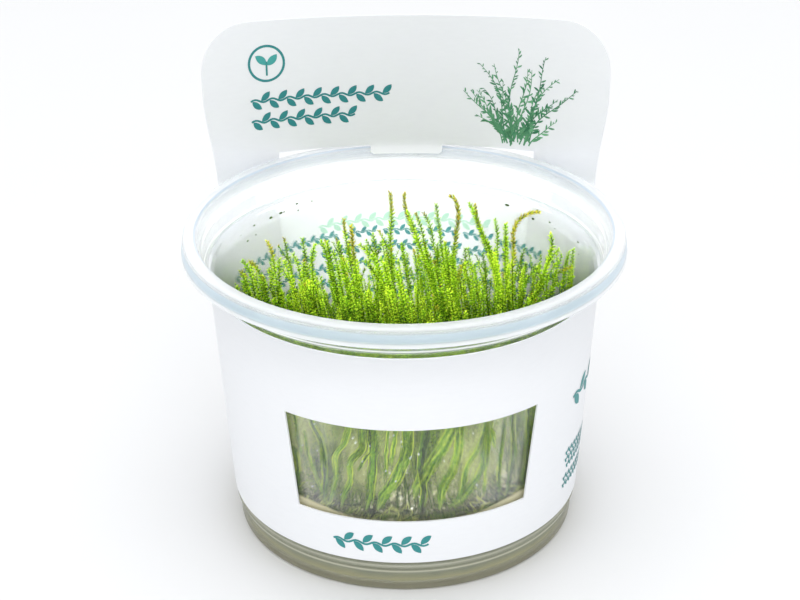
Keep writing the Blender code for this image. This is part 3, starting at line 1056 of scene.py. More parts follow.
@dataclass(frozen=True)
class CardSleeve:
    """The card round the cup, with its window, slot, tongue and display panel. Sizes as in the CAD."""

    cup: Cup
    gap: float = 0.3
    card: float = 0.4
    bottom: float = 7.9
    top: float = 58.3
    window_low: float = 18.4
    window_high: float = 41.3
    window_half_low: float = 27.4
    window_half_high: float = 29.1
    window_shift: float = 1.6
    panel_shift: float = 0.8
    panel_top: float = 99.2
    panel_half_width: float = 46.8
    neck: float = 44.6
    neck_height: float = 63.5
    widest_height: float = 84.0
    corner: float = 11.0
    low_bend: float = 93.0
    high_bend: float = 150.0
    low_back: float = 43.2
    high_back: float = 45.0
    free_height: float = 63.2
    lift_height: float = 55.5
    lift_inner: float = 22.0
    lift_outer: float = 64.0
    slot_half: float = 29.7
    slot_top: float = 68.4
    tongue_half: float = 8.25
    tongue_drop: float = 2.0
    tongue_lean: float = 0.6
    tongue_corner: float = 0.9
    most_turn: float = 1.2
    strips: tuple[int, ...] = (12, 18, 8, 18, 12, 26, 32, 26)
    rows: tuple[int, ...] = (5, 11, 7, 5, 8, 5, 13)

    def round_radius(self, height: Array | float) -> Array | float:
        """Outer radius of the card where it lies round the cup."""
        return self.cup.wall_radius(height) + self.gap + self.card

    @property
    def front(self) -> float:
        """How far round the sleeve its front is from the middle of its back."""
        return math.pi * self.round_radius(self.top)

    def half_width(self, height: Array) -> Array:
        """Half the panel's width: a fillet out of the sleeve's top edge, a neck, a flare and round corners.

        Args:
            height: heights over the table.

        Returns:
            Half widths.
        """
        fillet = self.neck_height - self.top
        drop = np.clip(self.neck_height - height, 0.0, fillet)
        flare = between(self.neck, self.panel_half_width, rise(height, self.neck_height, self.widest_height))
        up = np.clip(height - (self.panel_top - self.corner), 0.0, self.corner)
        foot = fillet - np.sqrt(fillet**2 - drop**2)
        return flare + foot - self.corner + np.sqrt(self.corner**2 - up**2)

    def place(self, across: Array, height: Array, proud: float = 0.0) -> Array:
        """Where points of the flat card lie once it is round the cup.

        Round the cup a point is (r sin a, r cos a, h), with a = across / the top circle's radius. On the free
        panel it is (b sin(across/b), y - b (1 - cos(across/b)), h), with a bend b and a back y that grow with
        height. Between the two it moves from one to the other.

        Args:
            across: distance round the top edge from the middle of the back.
            height: height over the table.
            proud: how far outside the card's outer face.

        Returns:
            The points.
        """
        across = (across - self.panel_shift + self.front) % (2 * self.front) - self.front + self.panel_shift
        angle = across / self.round_radius(self.top)
        radius = self.round_radius(height)
        cone = np.stack([radius * np.sin(angle), radius * np.cos(angle), height], axis=-1)
        share = np.maximum(height - self.free_height, 0.0) / (self.panel_top - self.free_height)
        bend = 1 / between(1 / self.low_bend, 1 / self.high_bend, share)
        back = between(self.low_back, self.high_back, share)
        turn = np.clip(across / bend, -self.most_turn, self.most_turn)
        panel = np.stack([bend * np.sin(turn), back - bend * (1 - np.cos(turn)), height], axis=-1)
        reach = np.abs(across - self.panel_shift)
        low_half = self.half_width(np.array(self.top))
        inner = rise(reach, self.lift_inner, self.slot_half)
        outer = ease((self.lift_outer - reach) / (self.lift_outer - low_half))
        beside = np.where(reach < self.slot_half, inner, outer)
        beside = np.where(height > self.top + self.gap, 1.0, beside)
        lift = rise(height, self.lift_height, self.free_height) * beside
        placed = between(cone, panel, lift[..., None])
        if proud:
            step = 0.05
            sideways = self.place(across + step, height) - self.place(across - step, height)
            upwards = self.place(across, height + step) - self.place(across, height - step)
            placed = placed + proud * unit(np.cross(upwards, sideways))
        return placed

    def columns(self, height: Array) -> Array:
        """Each row's distances round the card, from the panel's one edge all the way round to it again.

        Args:
            height: the heights of the rows.

        Returns:
            Rows by columns, with a column at each edge of window, slot, tongue and panel.
        """
        half = self.half_width(np.maximum(height, self.top))
        share = np.clip((height - self.window_low) / (self.window_high - self.window_low), 0.0, 1.0)
        window = between(self.window_half_low, self.window_half_high, share)
        middle = self.front - self.window_shift
        shift, same = self.panel_shift, np.zeros_like(height)
        edges = (-self.slot_half, -self.tongue_half, self.tongue_half, self.slot_half)
        keys = np.stack(
            [
                shift - half,
                *(shift + edge + same for edge in edges),
                shift + half,
                middle - window,
                middle + window,
                shift - half + 2 * self.front,
            ],
            axis=1,
        )
        ends = np.cumsum([0, *self.strips])
        steps = np.arange(ends[-1] + 1)
        group = np.clip(np.searchsorted(ends, steps, side="right") - 1, 0, len(self.strips) - 1)
        part = (steps - ends[group]) / np.array(self.strips)[group]
        return between(keys[:, group], keys[:, group + 1], part[None])

    def tongue(self) -> Surface:
        """The flap that hangs from the slot's top edge, with round corners, leaning a little forward of the rim.

        Returns:
            The flap's outer face.
        """
        foot = self.slot_top - self.tongue_drop
        corner = self.tongue_corner
        bow = corner * (1 - np.cos(np.linspace(0.0, math.pi / 2, 6)))
        up = np.concatenate([bow[:-1], np.linspace(corner, self.tongue_drop, 3)])
        left = np.maximum(corner - up, 0.0)
        half = self.tongue_half - corner + np.sqrt(corner**2 - left**2)
        across = self.panel_shift + half[:, None] * np.linspace(-1.0, 1.0, self.strips[Strip.TONGUE] + 1)
        height = np.repeat((foot + up)[:, None], across.shape[1], axis=1)
        points = self.place(across, height)
        points[..., 1] -= self.tongue_lean * (self.slot_top - height) / self.tongue_drop
        return grid_surface(points)

    def build(self) -> None:
        """One sheet with the window and slot left out, given the card's thickness inwards, and its tongue."""
        corner = self.panel_top - self.corner
        levels = (self.bottom, self.window_low, self.window_high, self.lift_height)
        levels = (*levels, self.top, self.free_height, self.slot_top, corner)
        stretches = zip(levels, levels[1:], self.rows)
        straight = [np.linspace(low, high, count, endpoint=False) for low, high, count in stretches]
        rows = np.concatenate([*straight, corner + self.corner * np.sin(np.linspace(0.0, math.pi / 2, 16))])
        across = self.columns(rows)
        points = self.place(across, np.repeat(rows[:, None], across.shape[1], axis=1))
        ends = np.cumsum([0, *self.strips])
        strip = np.searchsorted(ends, np.arange(ends[-1]), side="right") - 1
        middle = (rows[:-1] + rows[1:]) / 2
        low, column = np.meshgrid(middle, strip, indexing="ij")
        window = (column == Strip.WINDOW) & (low > self.window_low) & (low < self.window_high)
        between_necks = (column > Strip.FIRST_NECK) & (column < Strip.SECOND_NECK)
        slot = (low > self.top) & (low < self.slot_top) & between_necks
        beyond = (low > self.top) & (column > Strip.SECOND_NECK)
        sleeve = grid_surface(points, keep=~(window | slot | beyond))
        surface = joined([sleeve, self.tongue()])
        piece = add_piece("printed_card", surface, WHITE_CARD, ["card_sleeve"])
        weld(piece.data, outward=False)
        thick = piece.modifiers.new("Card thickness", "SOLIDIFY")
        thick.thickness = self.card * MM
        thick.offset = -1
        apply_modifiers(piece)
        piece.data.shade_smooth()
        piece.data.set_sharp_from_angle(angle=math.radians(Shading.CREASED.value))


# Rows of sprigs, each (left end, right end, height, leaf length, tone): on the panel, on the front of the sleeve,
# where the ends count from the middle of the front, and the pale one inside the back, which paints the back's
# outer print as it shows through the card against the light
TITLE_ROWS = ((-35.0, -3.0, 81.0, 2.9, 0.15), (-35.0, -11.0, 76.2, 2.9, 0.15))
FRONT_ROWS = (
    (17.0, -5.0, 12.6, 3.2, 0.3),
    (-45.0, -62.0, 36.5, 4.6, 0.3),
    (-44.0, -60.0, 23.0, 1.3, 0.25),
    (-44.0, -60.0, 21.2, 1.3, 0.25),
    (-45.0, -60.0, 19.4, 1.3, 0.25),
    (-44.0, -60.0, 16.4, 1.3, 0.25),
    (-44.0, -60.0, 14.6, 1.3, 0.25),
)
PRINT_THROUGH_ROW = (-21.0, 21.0, 50.8, 2.6, 0.6)


@dataclass
class CardPrint:
    """Plain leaf ornaments printed on the card: a fern, a ring with a sprout, and rows of sprigs."""

    sleeve: CardSleeve
    thickness: float = 0.05
    leaf_bend: float = 0.35
    stem_share: float = 0.075
    wave_share: float = 0.12
    leaf_gap_share: float = 0.66
    leaf_width_share: float = 0.48
    leaf_lean: float = 0.75
    fronds: int = 19
    middle_frond: float = 26.0
    side_frond: float = 15.0
    fern_foot: tuple[float, float] = (26.0, 69.5)
    ring_middle: tuple[float, float] = (-31.0, 89.5)
    ring_radius: float = 4.0
    teal: list[Surface] = field(default_factory=list)
    green: list[Surface] = field(default_factory=list)
    # pale holds the painted print-through: the back's outer print as it shows through the card against the light
    pale: list[Surface] = field(default_factory=list)

    def ribbon(self, line: Array, half: Array, tone: float, inside: bool = False) -> Surface:
        """A printed stroke: at each point of a line on the flat card, a half width to either side.

        Args:
            line: (across, height) rows.
            half: half widths.
            tone: from the ink's dark colour, 0, to its light one, 1.
            inside: prints on the card's inner face.

        Returns:
            The stroke on the card.
        """
        forward = unit(np.gradient(line, axis=0))
        side = np.stack([-forward[:, 1], forward[:, 0]], axis=1)
        reach = np.array([-1.0, 0.0, 1.0])[None, :, None] * half[:, None, None]
        flat = line[:, None] + reach * side[:, None]
        proud = -self.sleeve.card - self.thickness if inside else self.thickness
        points = self.sleeve.place(flat[..., 0], flat[..., 1], proud)
        shade = np.full(points.shape[:2], tone)
        return grid_surface(points if inside else points[:, ::-1], values={"tone": shade})

    def leaf(
        self, root: Array, angle: float, length: float, width: float, tone: float, inside: bool = False
    ) -> Surface:
        """A leaf: a line that bends slightly, with a half width of w sin(pi t) to the power 0.8.

        Args:
            root: where it starts, as (across, height).
            angle: its direction, in radians from across.
            length: its length.
            width: its greatest width.
            tone: from the ink's dark colour, 0, to its light one, 1.
            inside: prints on the card's inner face.

        Returns:
            The leaf on the card.
        """
        t = np.linspace(0.0, 1.0, 9)
        line = led(root, angle + self.leaf_bend * (t - 0.5), length)
        half = width / 2 * np.maximum(np.sin(math.pi * t), 0.0) ** 0.8 + 0.01
        return self.ribbon(line, half, tone, inside)

    def sprig_row(
        self, left: float, right: float, height: float, size: float, tone: float, inside: bool = False
    ) -> list[Surface]:
        """A stem with leaves to either side in turn, as long as the row.

        Args:
            left: where it starts, round the card.
            right: where it ends.
            height: its height over the table.
            size: a leaf's length.
            tone: from the ink's dark colour, 0, to its light one, 1.
            inside: prints on the card's inner face.

        Returns:
            The stem and its leaves.
        """
        count = max(int(abs(right - left) / (size * self.leaf_gap_share)), 1)
        t = np.linspace(0.0, 1.0, 4 * count + 2)
        wave = self.wave_share * size * np.sin(math.pi * count * t)
        stem = np.stack([between(left, right, t), height + wave], axis=1)
        shapes = [self.ribbon(stem, np.full(len(t), self.stem_share * size), tone, inside)]
        for number in range(count):
            place = (number + 0.2) / count
            root = np.array([between(left, right, place), height])
            lean = self.leaf_lean if number % 2 else -self.leaf_lean
            heading = lean if right > left else math.pi - lean
            shapes.append(self.leaf(root, heading, size, self.leaf_width_share * size, tone, inside))
        return shapes

    def fern(self, foot: Array, dice: Dice) -> list[Surface]:
        """A fan of fronds on the panel's front. Each bends outwards, with small leaves to either side by chance.

        Args:
            foot: where the fronds start, as (across, height).
            dice: chance.

        Returns:
            The fronds' strokes and leaves.
        """
        shapes: list[Surface] = []
        for lean in np.linspace(-1.0, 1.0, self.fronds) + dice.uniform(-0.04, 0.04, self.fronds):
            length = between(self.middle_frond, self.side_frond, abs(lean) ** 1.3) * dice.uniform(0.6, 1.08)
            t = np.linspace(0.0, 1.0, 16)
            heading = math.pi / 2 - lean * (0.35 + 0.8 * t) + 0.22 * np.sin(6 * t + lean * 9)
            start = foot + np.array([lean * 3.0 + dice.uniform(-0.8, 0.8), dice.uniform(-0.4, 1.6)])
            line = led(start, heading, length)
            tone = dice.uniform(0.0, 0.7)
            shapes.append(self.ribbon(line, between(0.16, 0.05, t), tone, inside=True))
            for share in np.arange(0.06, 0.99, 0.75 / length):
                root = np.array([np.interp(share, t, line[:, 0]), np.interp(share, t, line[:, 1])])
                turn = float(np.interp(share, t, heading)) + dice.choice([-1.0, 1.0]) * dice.uniform(0.3, 1.1)
                size = between(2.3, 1.0, share) * dice.uniform(0.5, 1.2)
                shade = tone + dice.uniform(-0.15, 0.35)
                shapes.append(self.leaf(root, turn, size, 0.26 * size, shade, inside=True))
        return shapes

    def ring(self, middle: Array, radius: float) -> list[Surface]:
        """A ring with a two-leaved sprout in it.

        Args:
            middle: its centre, as (across, height).
            radius: its radius.

        Returns:
            The ring and the sprout.
        """
        turn = np.linspace(0.0, math.tau, 49)
        circle = middle + radius * np.stack([np.cos(turn), np.sin(turn)], axis=1)
        shapes = [self.ribbon(circle, np.full(49, 0.28), 0.2, inside=True)]
        stem = middle + np.stack([np.zeros(6), np.linspace(-0.7 * radius, 0.1 * radius, 6)], axis=1)
        shapes.append(self.ribbon(stem, np.full(6, 0.22), 0.2, inside=True))
        root = middle + np.array([0.0, -0.1 * radius])
        for angle in (0.75, math.pi - 0.75):
            shapes.append(self.leaf(root, angle, 0.85 * radius, 0.42 * radius, 0.9, inside=True))
        return shapes

    def build(self) -> None:
        """The panel's fern, ring and title rows, the sleeve's sprigs, and the rows inside the back, the pale one a
        painted print-through.
        """
        dice = np.random.default_rng(5)
        front = self.sleeve.front
        self.green += self.fern(np.array(self.fern_foot), dice)
        self.teal += self.ring(np.array(self.ring_middle), self.ring_radius)
        for row in TITLE_ROWS:
            self.teal += self.sprig_row(*row, inside=True)
        for left, right, *row in FRONT_ROWS:
            self.teal += self.sprig_row(front + left, front + right, *row)
        # A pale row that paints the back's outer print showing through the card against the light
        self.pale += self.sprig_row(*PRINT_THROUGH_ROW, inside=True)
        for row, reach in enumerate((50.0, 52.0, 52.0, 50.0, 50.0)):
            start = -reach
            while start < reach - 6.0:
                end = min(start + dice.uniform(5.0, 17.0), reach)
                self.teal += self.sprig_row(start, end, 48.0 - 3.8 * row, 1.9, 0.15, inside=True)
                start = end + 1.6
        prints = (
            ("leaf_print", self.green, GREEN_INK),
            ("teal_print", self.teal, TEAL_INK),
            ("painted_print_through", self.pale, PRINT_THROUGH_INK),
        )
        for name, parts, ink in prints:
            add_piece(name, joined(parts), ink)


# Moss


@dataclass(frozen=True)
class Shoot:
    """One shoot: the points that it grows through, its width over the leaves, its brown tip's length, its light."""

    path: Array
    width: float = 1.5
    brown: float = 0.0
    light: float = 0.5
    flat: bool = False


# A leaf's root, two edges, keel and point: how far each lies along the leaf and inwards, over its length, and
# across it, over its width, then how far it shifts the leaf's light value: painted shade at the root and keel, a
# painted highlight at the point
LEAF_CORNERS = np.array(
    [
        (0.0, 0.0, 0.0, -0.7),
        (0.42, 0.12, -0.5, 0.1),
        (0.42, 0.12, 0.5, 0.1),
        (0.48, -0.06, 0.0, -0.5),
        (1.0, 0.04, 0.0, 0.8),
    ]
)
LEAF_FACES = np.array([(0, 1, 3), (0, 3, 2), (1, 4, 3), (3, 4, 2)])


@dataclass(frozen=True)
class Growth:
    """A kind of shoot: the spans of its width and its light, its most branches, and how high up they start."""

    width: tuple[float, float]
    light: tuple[float, float]
    branches: int
    highest: float


ORDINARY = Growth(width=(1.25, 1.7), light=(0.12, 0.8), branches=2, highest=0.9)
TALL = Growth(width=(1.45, 1.8), light=(0.25, 0.6), branches=2, highest=0.75)
FILLER = Growth(width=(1.05, 1.5), light=(0.0, 0.85), branches=1, highest=0.9)


@dataclass(frozen=True)
class Leafing:
    """How leaves stand on a shoot. Sizes in millimetres."""

    pairs_a_mm: float = 2.3
    length: float = 0.92
    width: float = 0.52
    stem: float = 0.16
    open_low: float = 1.05
    open_high: float = 0.9
    twist: float = 0.35
    crowding: float = 0.75
    waver: float = 0.22
    usual_width: float = 1.5

    def leaves(self, shoot: Shoot, dice: Dice) -> Surface:
        """Small folded leaves in four ranks round a shoot.

        They stand in opposite pairs, closer together towards the tip. Each pair is a quarter turn round the stem
        from the one before, and the ranks twist slowly. A leaf opens from the stem's direction by an angle that
        narrows towards the tip and where the leaf has withered. A flat shoot has two ranks.

        Args:
            shoot: the shoot.
            dice: chance.

        Returns:
            Four triangles a leaf, with the values light and wither. Light carries painted shade at each leaf's root
            and keel and a painted highlight at its point.
        """
        measure = np.linalg.norm(np.diff(shoot.path, axis=0), axis=1).sum()
        count = 2 * max(int(measure * self.pairs_a_mm), 3)
        share = ((np.arange(count) // 2 * 2 + 1.0) / count) ** self.crowding
        centre = along(shoot.path, share)
        wave = self.waver * np.sin(math.pi * share)
        centre[:, 0] += wave * np.sin(share * measure * 0.45 + shoot.light * 40)
        centre[:, 1] += wave * np.sin(share * measure * 0.38 + shoot.light * 70)
        forward = np.repeat(unit(np.gradient(centre[::2], axis=0)), 2, axis=0)
        side = unit(np.cross(forward, [0.2, 0.97, 0.1]))
        other = np.cross(forward, side)
        number = np.arange(count)
        turn = np.array([0.0, 2.0, 1.0, 3.0])[number % 4] * math.pi / 2 + number // 2 * self.twist
        if shoot.flat:
            turn = np.where(number % 2, 0.0, math.pi)
        turn = turn + shoot.light * 50 * (not shoot.flat) + dice.uniform(-0.25, 0.25, count)
        out = np.cos(turn)[:, None] * side + np.sin(turn)[:, None] * other
        opening = between(self.open_low, self.open_high, share**2) + dice.uniform(-0.15, 0.15, count)
        to_tip = (1 - share) * measure
        wither = ease(1.5 - to_tip / max(shoot.brown, 0.1)) * dice.uniform(0.6, 1.3, count)
        opening = opening * (1 - 0.35 * np.exp(-to_tip / 0.5)) * (1 - 0.25 * np.minimum(wither, 1.0))
        size = shoot.width / self.usual_width * (1 - 0.12 * np.exp(-to_tip / 3.0)) * dice.uniform(0.75, 1.2, count)
        length, width = (self.length * size)[:, None], (self.width * size)[:, None]
        axis = np.cos(opening)[:, None] * forward + np.sin(opening)[:, None] * out
        inward = np.sin(opening)[:, None] * forward - np.cos(opening)[:, None] * out
        across = np.cross(forward, out)
        root = centre + out * self.stem * 0.6
        ahead, inwards, sideways, painted_light_shift = LEAF_CORNERS.T
        points = (
            root[:, None]
            + (ahead * length)[..., None] * axis[:, None]
            + (sideways * width)[..., None] * across[:, None]
            + (inwards * length)[..., None] * inward[:, None]
        )
        faces = number[:, None, None] * len(LEAF_CORNERS) + LEAF_FACES[None]
        # The light value: the shoot's own tone, rising towards its tip, with painted shade at each leaf's root and
        # keel and a painted highlight at its point
        light = shoot.light + 0.3 * (share - 0.5) + dice.uniform(-0.18, 0.18, count)
        values = {
            "light": np.clip(light[:, None] + painted_light_shift[None], 0.0, 1.0).reshape(-1),
            "wither": np.clip(np.repeat(wither, len(LEAF_CORNERS)), 0.0, 1.0),
        }
        return Surface(points.reshape(-1, 3), faces.reshape(-1, 3), values)

    def stem_tube(self, shoot: Shoot) -> Surface:
        """The shoot's stem, a thin tube that tapers to its tip.

        Args:
            shoot: the shoot.

        Returns:
            The stem, with the values light and wither.
        """
        measure = np.linalg.norm(np.diff(shoot.path, axis=0), axis=1).sum()
        share = np.linspace(0.0, 1.0, max(int(measure / 1.2), 4))
        centre = along(shoot.path, share)
        half = self.stem * between(1.2, 0.5, share) * shoot.width / self.usual_width
        values = {"light": np.full(len(share), 0.25), "wither": np.full(len(share), 0.3)}
        return tube_surface(centre, half, 5, values).as_triangles()

    def dress(self, shoot: Shoot, dice: Dice) -> list[Surface]:
        """A shoot's stem and leaves."""
        return [self.stem_tube(shoot), self.leaves(shoot, dice)]


# Where each tall shoot ends (x, y, height), how far its tip curls along x, and its brown tip's length
TALL_SHOOTS = (
    (-3.0, 21.2, 66.0, -0.4, 5.0),
    (0.3, 21.9, 65.5, 1.3, 7.0),
    (1.0, 19.7, 62.0, 0.0, 0.0),
    (2.7, 16.5, 63.0, -0.6, 1.5),
    (4.5, 21.4, 61.0, -1.0, 1.0),
    (7.2, 19.5, 64.0, 0.0, 0.0),
    (10.3, 19.3, 66.0, -2.8, 12.0),
    (14.5, 17.7, 65.0, 0.0, 0.0),
    (15.8, 18.3, 64.0, 0.9, 7.0),
    (17.2, 18.6, 58.0, 0.6, 0.0),
    (20.2, 17.4, 61.0, -0.5, 0.0),
    (22.6, 16.8, 60.0, 0.0, 0.0),
    (29.4, 11.6, 65.5, 5.2, 16.0),
    (32.2, 11.4, 60.0, -1.2, 0.0),
    (33.8, 10.1, 57.0, 1.0, 0.0),
    (36.2, 5.6, 55.0, 2.6, 3.0),
    (36.4, 2.7, 54.0, 1.8, 0.0),
    (30.0, 8.3, 54.0, 2.0, 0.0),
    (-35.2, 2.4, 56.0, 0.0, 1.0),
    (-35.0, 5.8, 57.0, -1.0, 0.0),
    (-33.2, 7.3, 56.0, -1.2, 2.0),
    (-29.7, 9.0, 60.0, -0.6, 4.0),
    (-27.3, 8.8, 56.0, 0.0, 0.0),
    (-24.3, 9.1, 57.0, -0.6, 0.0),
    (-22.1, 10.2, 54.0, 0.4, 0.0),
    (-19.5, 11.5, 58.0, 0.8, 0.0),
    (-18.0, 11.4, 58.5, -0.5, 0.0),
    (-16.8, 10.9, 59.0, 0.0, 0.0),
    (-15.7, 12.0, 56.0, -0.4, 0.0),
    (-13.1, 13.6, 63.0, 0.4, 3.0),
    (-11.6, 12.1, 62.0, 0.0, 8.0),
    (-9.7, 11.3, 58.0, -1.6, 0.0),
    (-8.6, 11.5, 54.0, -0.4, 0.0),
    (-5.1, 12.4, 54.0, -0.3, 0.0),
)


@dataclass
class MossBed:
    """The clumps of moss on the gel. The main shoots stand where the CAD's do, with finer ones between them."""

    cup: Cup
    gel: Gel
    leafing: Leafing = Leafing()
    tufts: int = 25
    spread: float = 29.5
    turn: float = math.radians(137.508)
    first_angle: float = math.radians(20)
    root_share: float = 0.45
    knee_share: float = 0.6
    root_inset: float = 1.9
    tip_inset: float = 1.2
    shoots_a_tuft: int = 4
    shoot_radius: float = 0.85
    hook: float = 2.7
    seed: int = 11
    lean: tuple[float, float] = (-0.16, 0.26)
    lean_turns: tuple[float, float] = (12.0, 36.0)
    lean_out: float = 0.14
    canopy_low: float = 47.0
    ridge: float = 10.0
    ridge_y: float = 13.0
    ridge_width: float = 12.0
    hump: float = 2.0
    hump_width: float = 15.0
    back_drop: float = 4.0
    back: tuple[float, float] = (10.0, 28.0)
    bend_from: float = 0.6
    filler_spacing: float = 2.8
    filler_reach: float = 35.6
    filler_short: float = 13.0
    filler_even: float = 6.0
    filler_dip: float = 5.0

    def centres(self) -> Array:
        """The clumps' middles, each a fixed turn on from the last, spread evenly over the gel.

        Returns:
            One place a clump, at height 0.
        """
        index = np.arange(self.tufts)
        radius = self.spread * np.sqrt((index + 0.5) / self.tufts)
        angle = self.first_angle + index * self.turn
        return np.stack([radius * np.cos(angle), radius * np.sin(angle), 0 * angle], axis=1)

    def sway(self, point: Array) -> Array:
        """The lean that all shoots share: each point moves along x and y in proportion to its height.

        Args:
            point: points of an upright shoot.

        Returns:
            The points after the lean.
        """
        height = point[..., 2] - self.gel.top
        slope = between(*self.lean, rise(point[..., 0], *self.lean_turns))
        moved = point.copy()
        moved[..., 0] += slope * height
        moved[..., 1] += self.lean_out * height * point[..., 1] / self.spread
        return moved

    def unsway(self, point: Array) -> Array:
        """The upright place that sway carries to this point.

        Args:
            point: a point of a leaning shoot.

        Returns:
            Where it was before the lean.
        """
        upright = point.copy()
        for _ in range(16):
            upright = upright + 0.5 * (point - self.sway(upright))
        return upright

    def canopy(self, x: Array | float, y: Array | float) -> Array | float:
        """Height of ordinary shoots: low at the front and the back wall, higher between.

        Args:
            x: places across.
            y: places towards the back.

        Returns:
            Heights over the table.
        """
        ridge = self.ridge * np.exp(-(((y - self.ridge_y) / self.ridge_width) ** 2))
        middle = self.hump * np.exp(-((x / self.hump_width) ** 2))
        return self.canopy_low + ridge + middle - self.back_drop * rise(y, *self.back)

    def inside_wall(self, points: Array) -> Array:
        """The points, drawn in where a shoot there would touch the cup's wall.

        Args:
            points: points of a shoot.

        Returns:
            The moved points.
        """
        most = self.cup.inner_radius(points[:, 2]) - 0.6 - self.shoot_radius
        reach = np.hypot(points[:, 0], points[:, 1])
        drawn = np.minimum(1.0, most / np.maximum(reach, 1.0))[:, None]
        return np.concatenate([points[:, :2] * drawn, points[:, 2:]], axis=1)

    def grown(self, root: Array, knee: Array, tip: Array, curl: float) -> Array:
        """Points up a shoot that sways with the rest, bends to its tip above its knee, and hooks along x.

        Args:
            root: where it leaves its clump.
            knee: where it starts to bend.
            tip: its end, before the lean and the curl.
            curl: how far the tip hooks along x.

        Returns:
            The points that the shoot grows through.
        """
        above = np.array([0.0, 0.3, 0.6, 0.72, 0.82, 0.9, 0.96, 1.0])
        bend = np.maximum(above - self.bend_from, 0.0) / (1 - self.bend_from)
        upper = self.sway(between(knee, tip, above[:, None]))
        upper[:, 0] += curl * bend**1.7
        if abs(curl) > self.hook:
            upper[:, 2] += (upper[-1, 2] - upper[0, 2]) * 0.4 * (1 - bend - (1 - bend) ** 1.8) * (bend > 0)
        foot = np.array([root[0], root[1], self.gel.top - 0.6])
        return self.inside_wall(np.concatenate([self.sway(np.stack([foot, root])), upper]))

    def ordinary(self, centre: Array, cell: float, dice: random.Random) -> Iterable[Array]:
        """The short main shoots of a clump, as the CAD draws them.

        Args:
            centre: the clump's middle.
            cell: half the way to the nearest clump.
            dice: the CAD's own draws.

        Returns:
            One path a shoot.
        """
        start = dice.uniform(0, math.tau)
        for number in range(self.shoots_a_tuft):
            angle = start + math.tau * number / self.shoots_a_tuft + dice.uniform(-0.3, 0.3)
            out = np.array([math.cos(angle), math.sin(angle), 0.0])
            root = centre + out * (cell - self.root_inset) * dice.uniform(0.5, 0.8)
            tip = centre + out * (cell - self.tip_inset) * dice.uniform(0.55, 1.0)
            tip[2] = self.canopy(tip[0], tip[1]) + dice.uniform(-4, 1)
            root[2] = between(self.gel.top, tip[2], self.root_share)
            yield self.grown(root, (root + tip) / 2, tip, 0.0)

    def tall(self, index: int, cell: float) -> Iterable[tuple[Array, bool, float]]:
        """The tall shoots of a clump, as the CAD draws them, whether each ends in a hook, and its brown tip.

        Args:
            index: the clump's number.
            cell: half the way to the nearest clump.

        Returns:
            One row a shoot.
        """
        centres = self.centres()
        centre = centres[index]
        for x, y, height, curl, brown in TALL_SHOOTS:
            tip = self.unsway(np.array([x - curl, y, height]))
            lean = tip * [1, 1, 0] - centre
            if np.argmin(np.linalg.norm(centres - tip * [1, 1, 0], axis=1)) != index:
                continue
            reach = min(1.0, (cell - self.tip_inset) / max(float(np.linalg.norm(lean)), 1.0))
            root = centre + lean * reach * 0.5
            root[2] = between(self.gel.top, self.canopy(centre[0], centre[1]), self.root_share)
            knee = centre + lean * reach
            knee[2] = between(root[2], tip[2], self.knee_share)
            yield self.grown(root, knee, tip, curl), abs(curl) > self.hook, brown

    def filler_roots(self, dice: Dice) -> Array:
        """Places for the finer shoots: a staggered grid over the gel, each shifted by chance.

        Args:
            dice: chance.

        Returns:
            (x, y) rows.
        """
        steps = np.arange(-18, 19) * self.filler_spacing
        x, y = np.meshgrid(steps, steps * 0.866)
        x = x + np.where(np.arange(len(steps)) % 2, self.filler_spacing / 2, 0.0)[:, None]
        places = np.stack([x.ravel(), y.ravel()], axis=1)
        places = places + dice.uniform(-0.8, 0.8, places.shape)
        return places[np.hypot(places[:, 0], places[:, 1]) < self.filler_reach]

    def filler(self, place: Array, dice: Dice) -> Array:
        """A finer shoot from the gel up to about the canopy, which leans together with its neighbours.

        Args:
            place: where it stands, as (x, y).
            dice: chance.

        Returns:
            The points that the shoot grows through.
        """
        x, y = place
        back = rise(x, 6.0, 14.0) * rise(y, 4.0, 12.0)
        top = self.canopy(x, y) - dice.uniform(0.0, self.filler_short - self.filler_even * back)
        top = top - self.filler_dip * rise(y, 0.0, 10.0) * (1 - back)
        shares = np.array([0.0, 0.3, 0.6, 0.85, 1.0])
        lean = 1.7 * np.array([math.sin(0.35 * x + 0.2 * y), math.cos(0.3 * y - 0.25 * x)])
        lean = lean + dice.uniform(-0.9, 0.9, 2)
        wander = dice.uniform(-0.4, 0.4, (5, 2))
        xy = place + lean * shares[:, None] ** 1.3 + wander
        heights = between(self.gel.top - 0.4, top, shares)
        return self.inside_wall(self.sway(np.concatenate([xy, heights[:, None]], axis=1)))

    def branches(self, parent: Shoot, kind: Growth, dice: Dice) -> Iterable[Shoot]:
        """Short side shoots, which leave their parent at an angle and turn upwards.

        Args:
            parent: the shoot that carries them.
            kind: the parent's kind.
            dice: chance.

        Returns:
            The side shoots.
        """
        for _ in range(dice.integers(0, kind.branches + 1)):
            share = dice.uniform(0.5, kind.highest)
            start, ahead = along(parent.path, np.array([share, share + 0.03]))
            turn = dice.uniform(0.0, math.tau)
            out = np.array([math.cos(turn), 0.6 * math.sin(turn), 0.0])
            heading = unit(unit(ahead - start) + 0.75 * out)
            t = np.linspace(0.0, 1.0, 4)[:, None]
            length = dice.uniform(2.0, 5.0)
            path = start + length * (t * heading + 0.3 * t**2 * np.array([0.0, 0.0, 1.0]))
            light = float(np.clip(parent.light + dice.uniform(-0.05, 0.2), 0.0, 1.0))
            yield Shoot(self.inside_wall(path), parent.width * 0.8, parent.brown * 0.3, light)

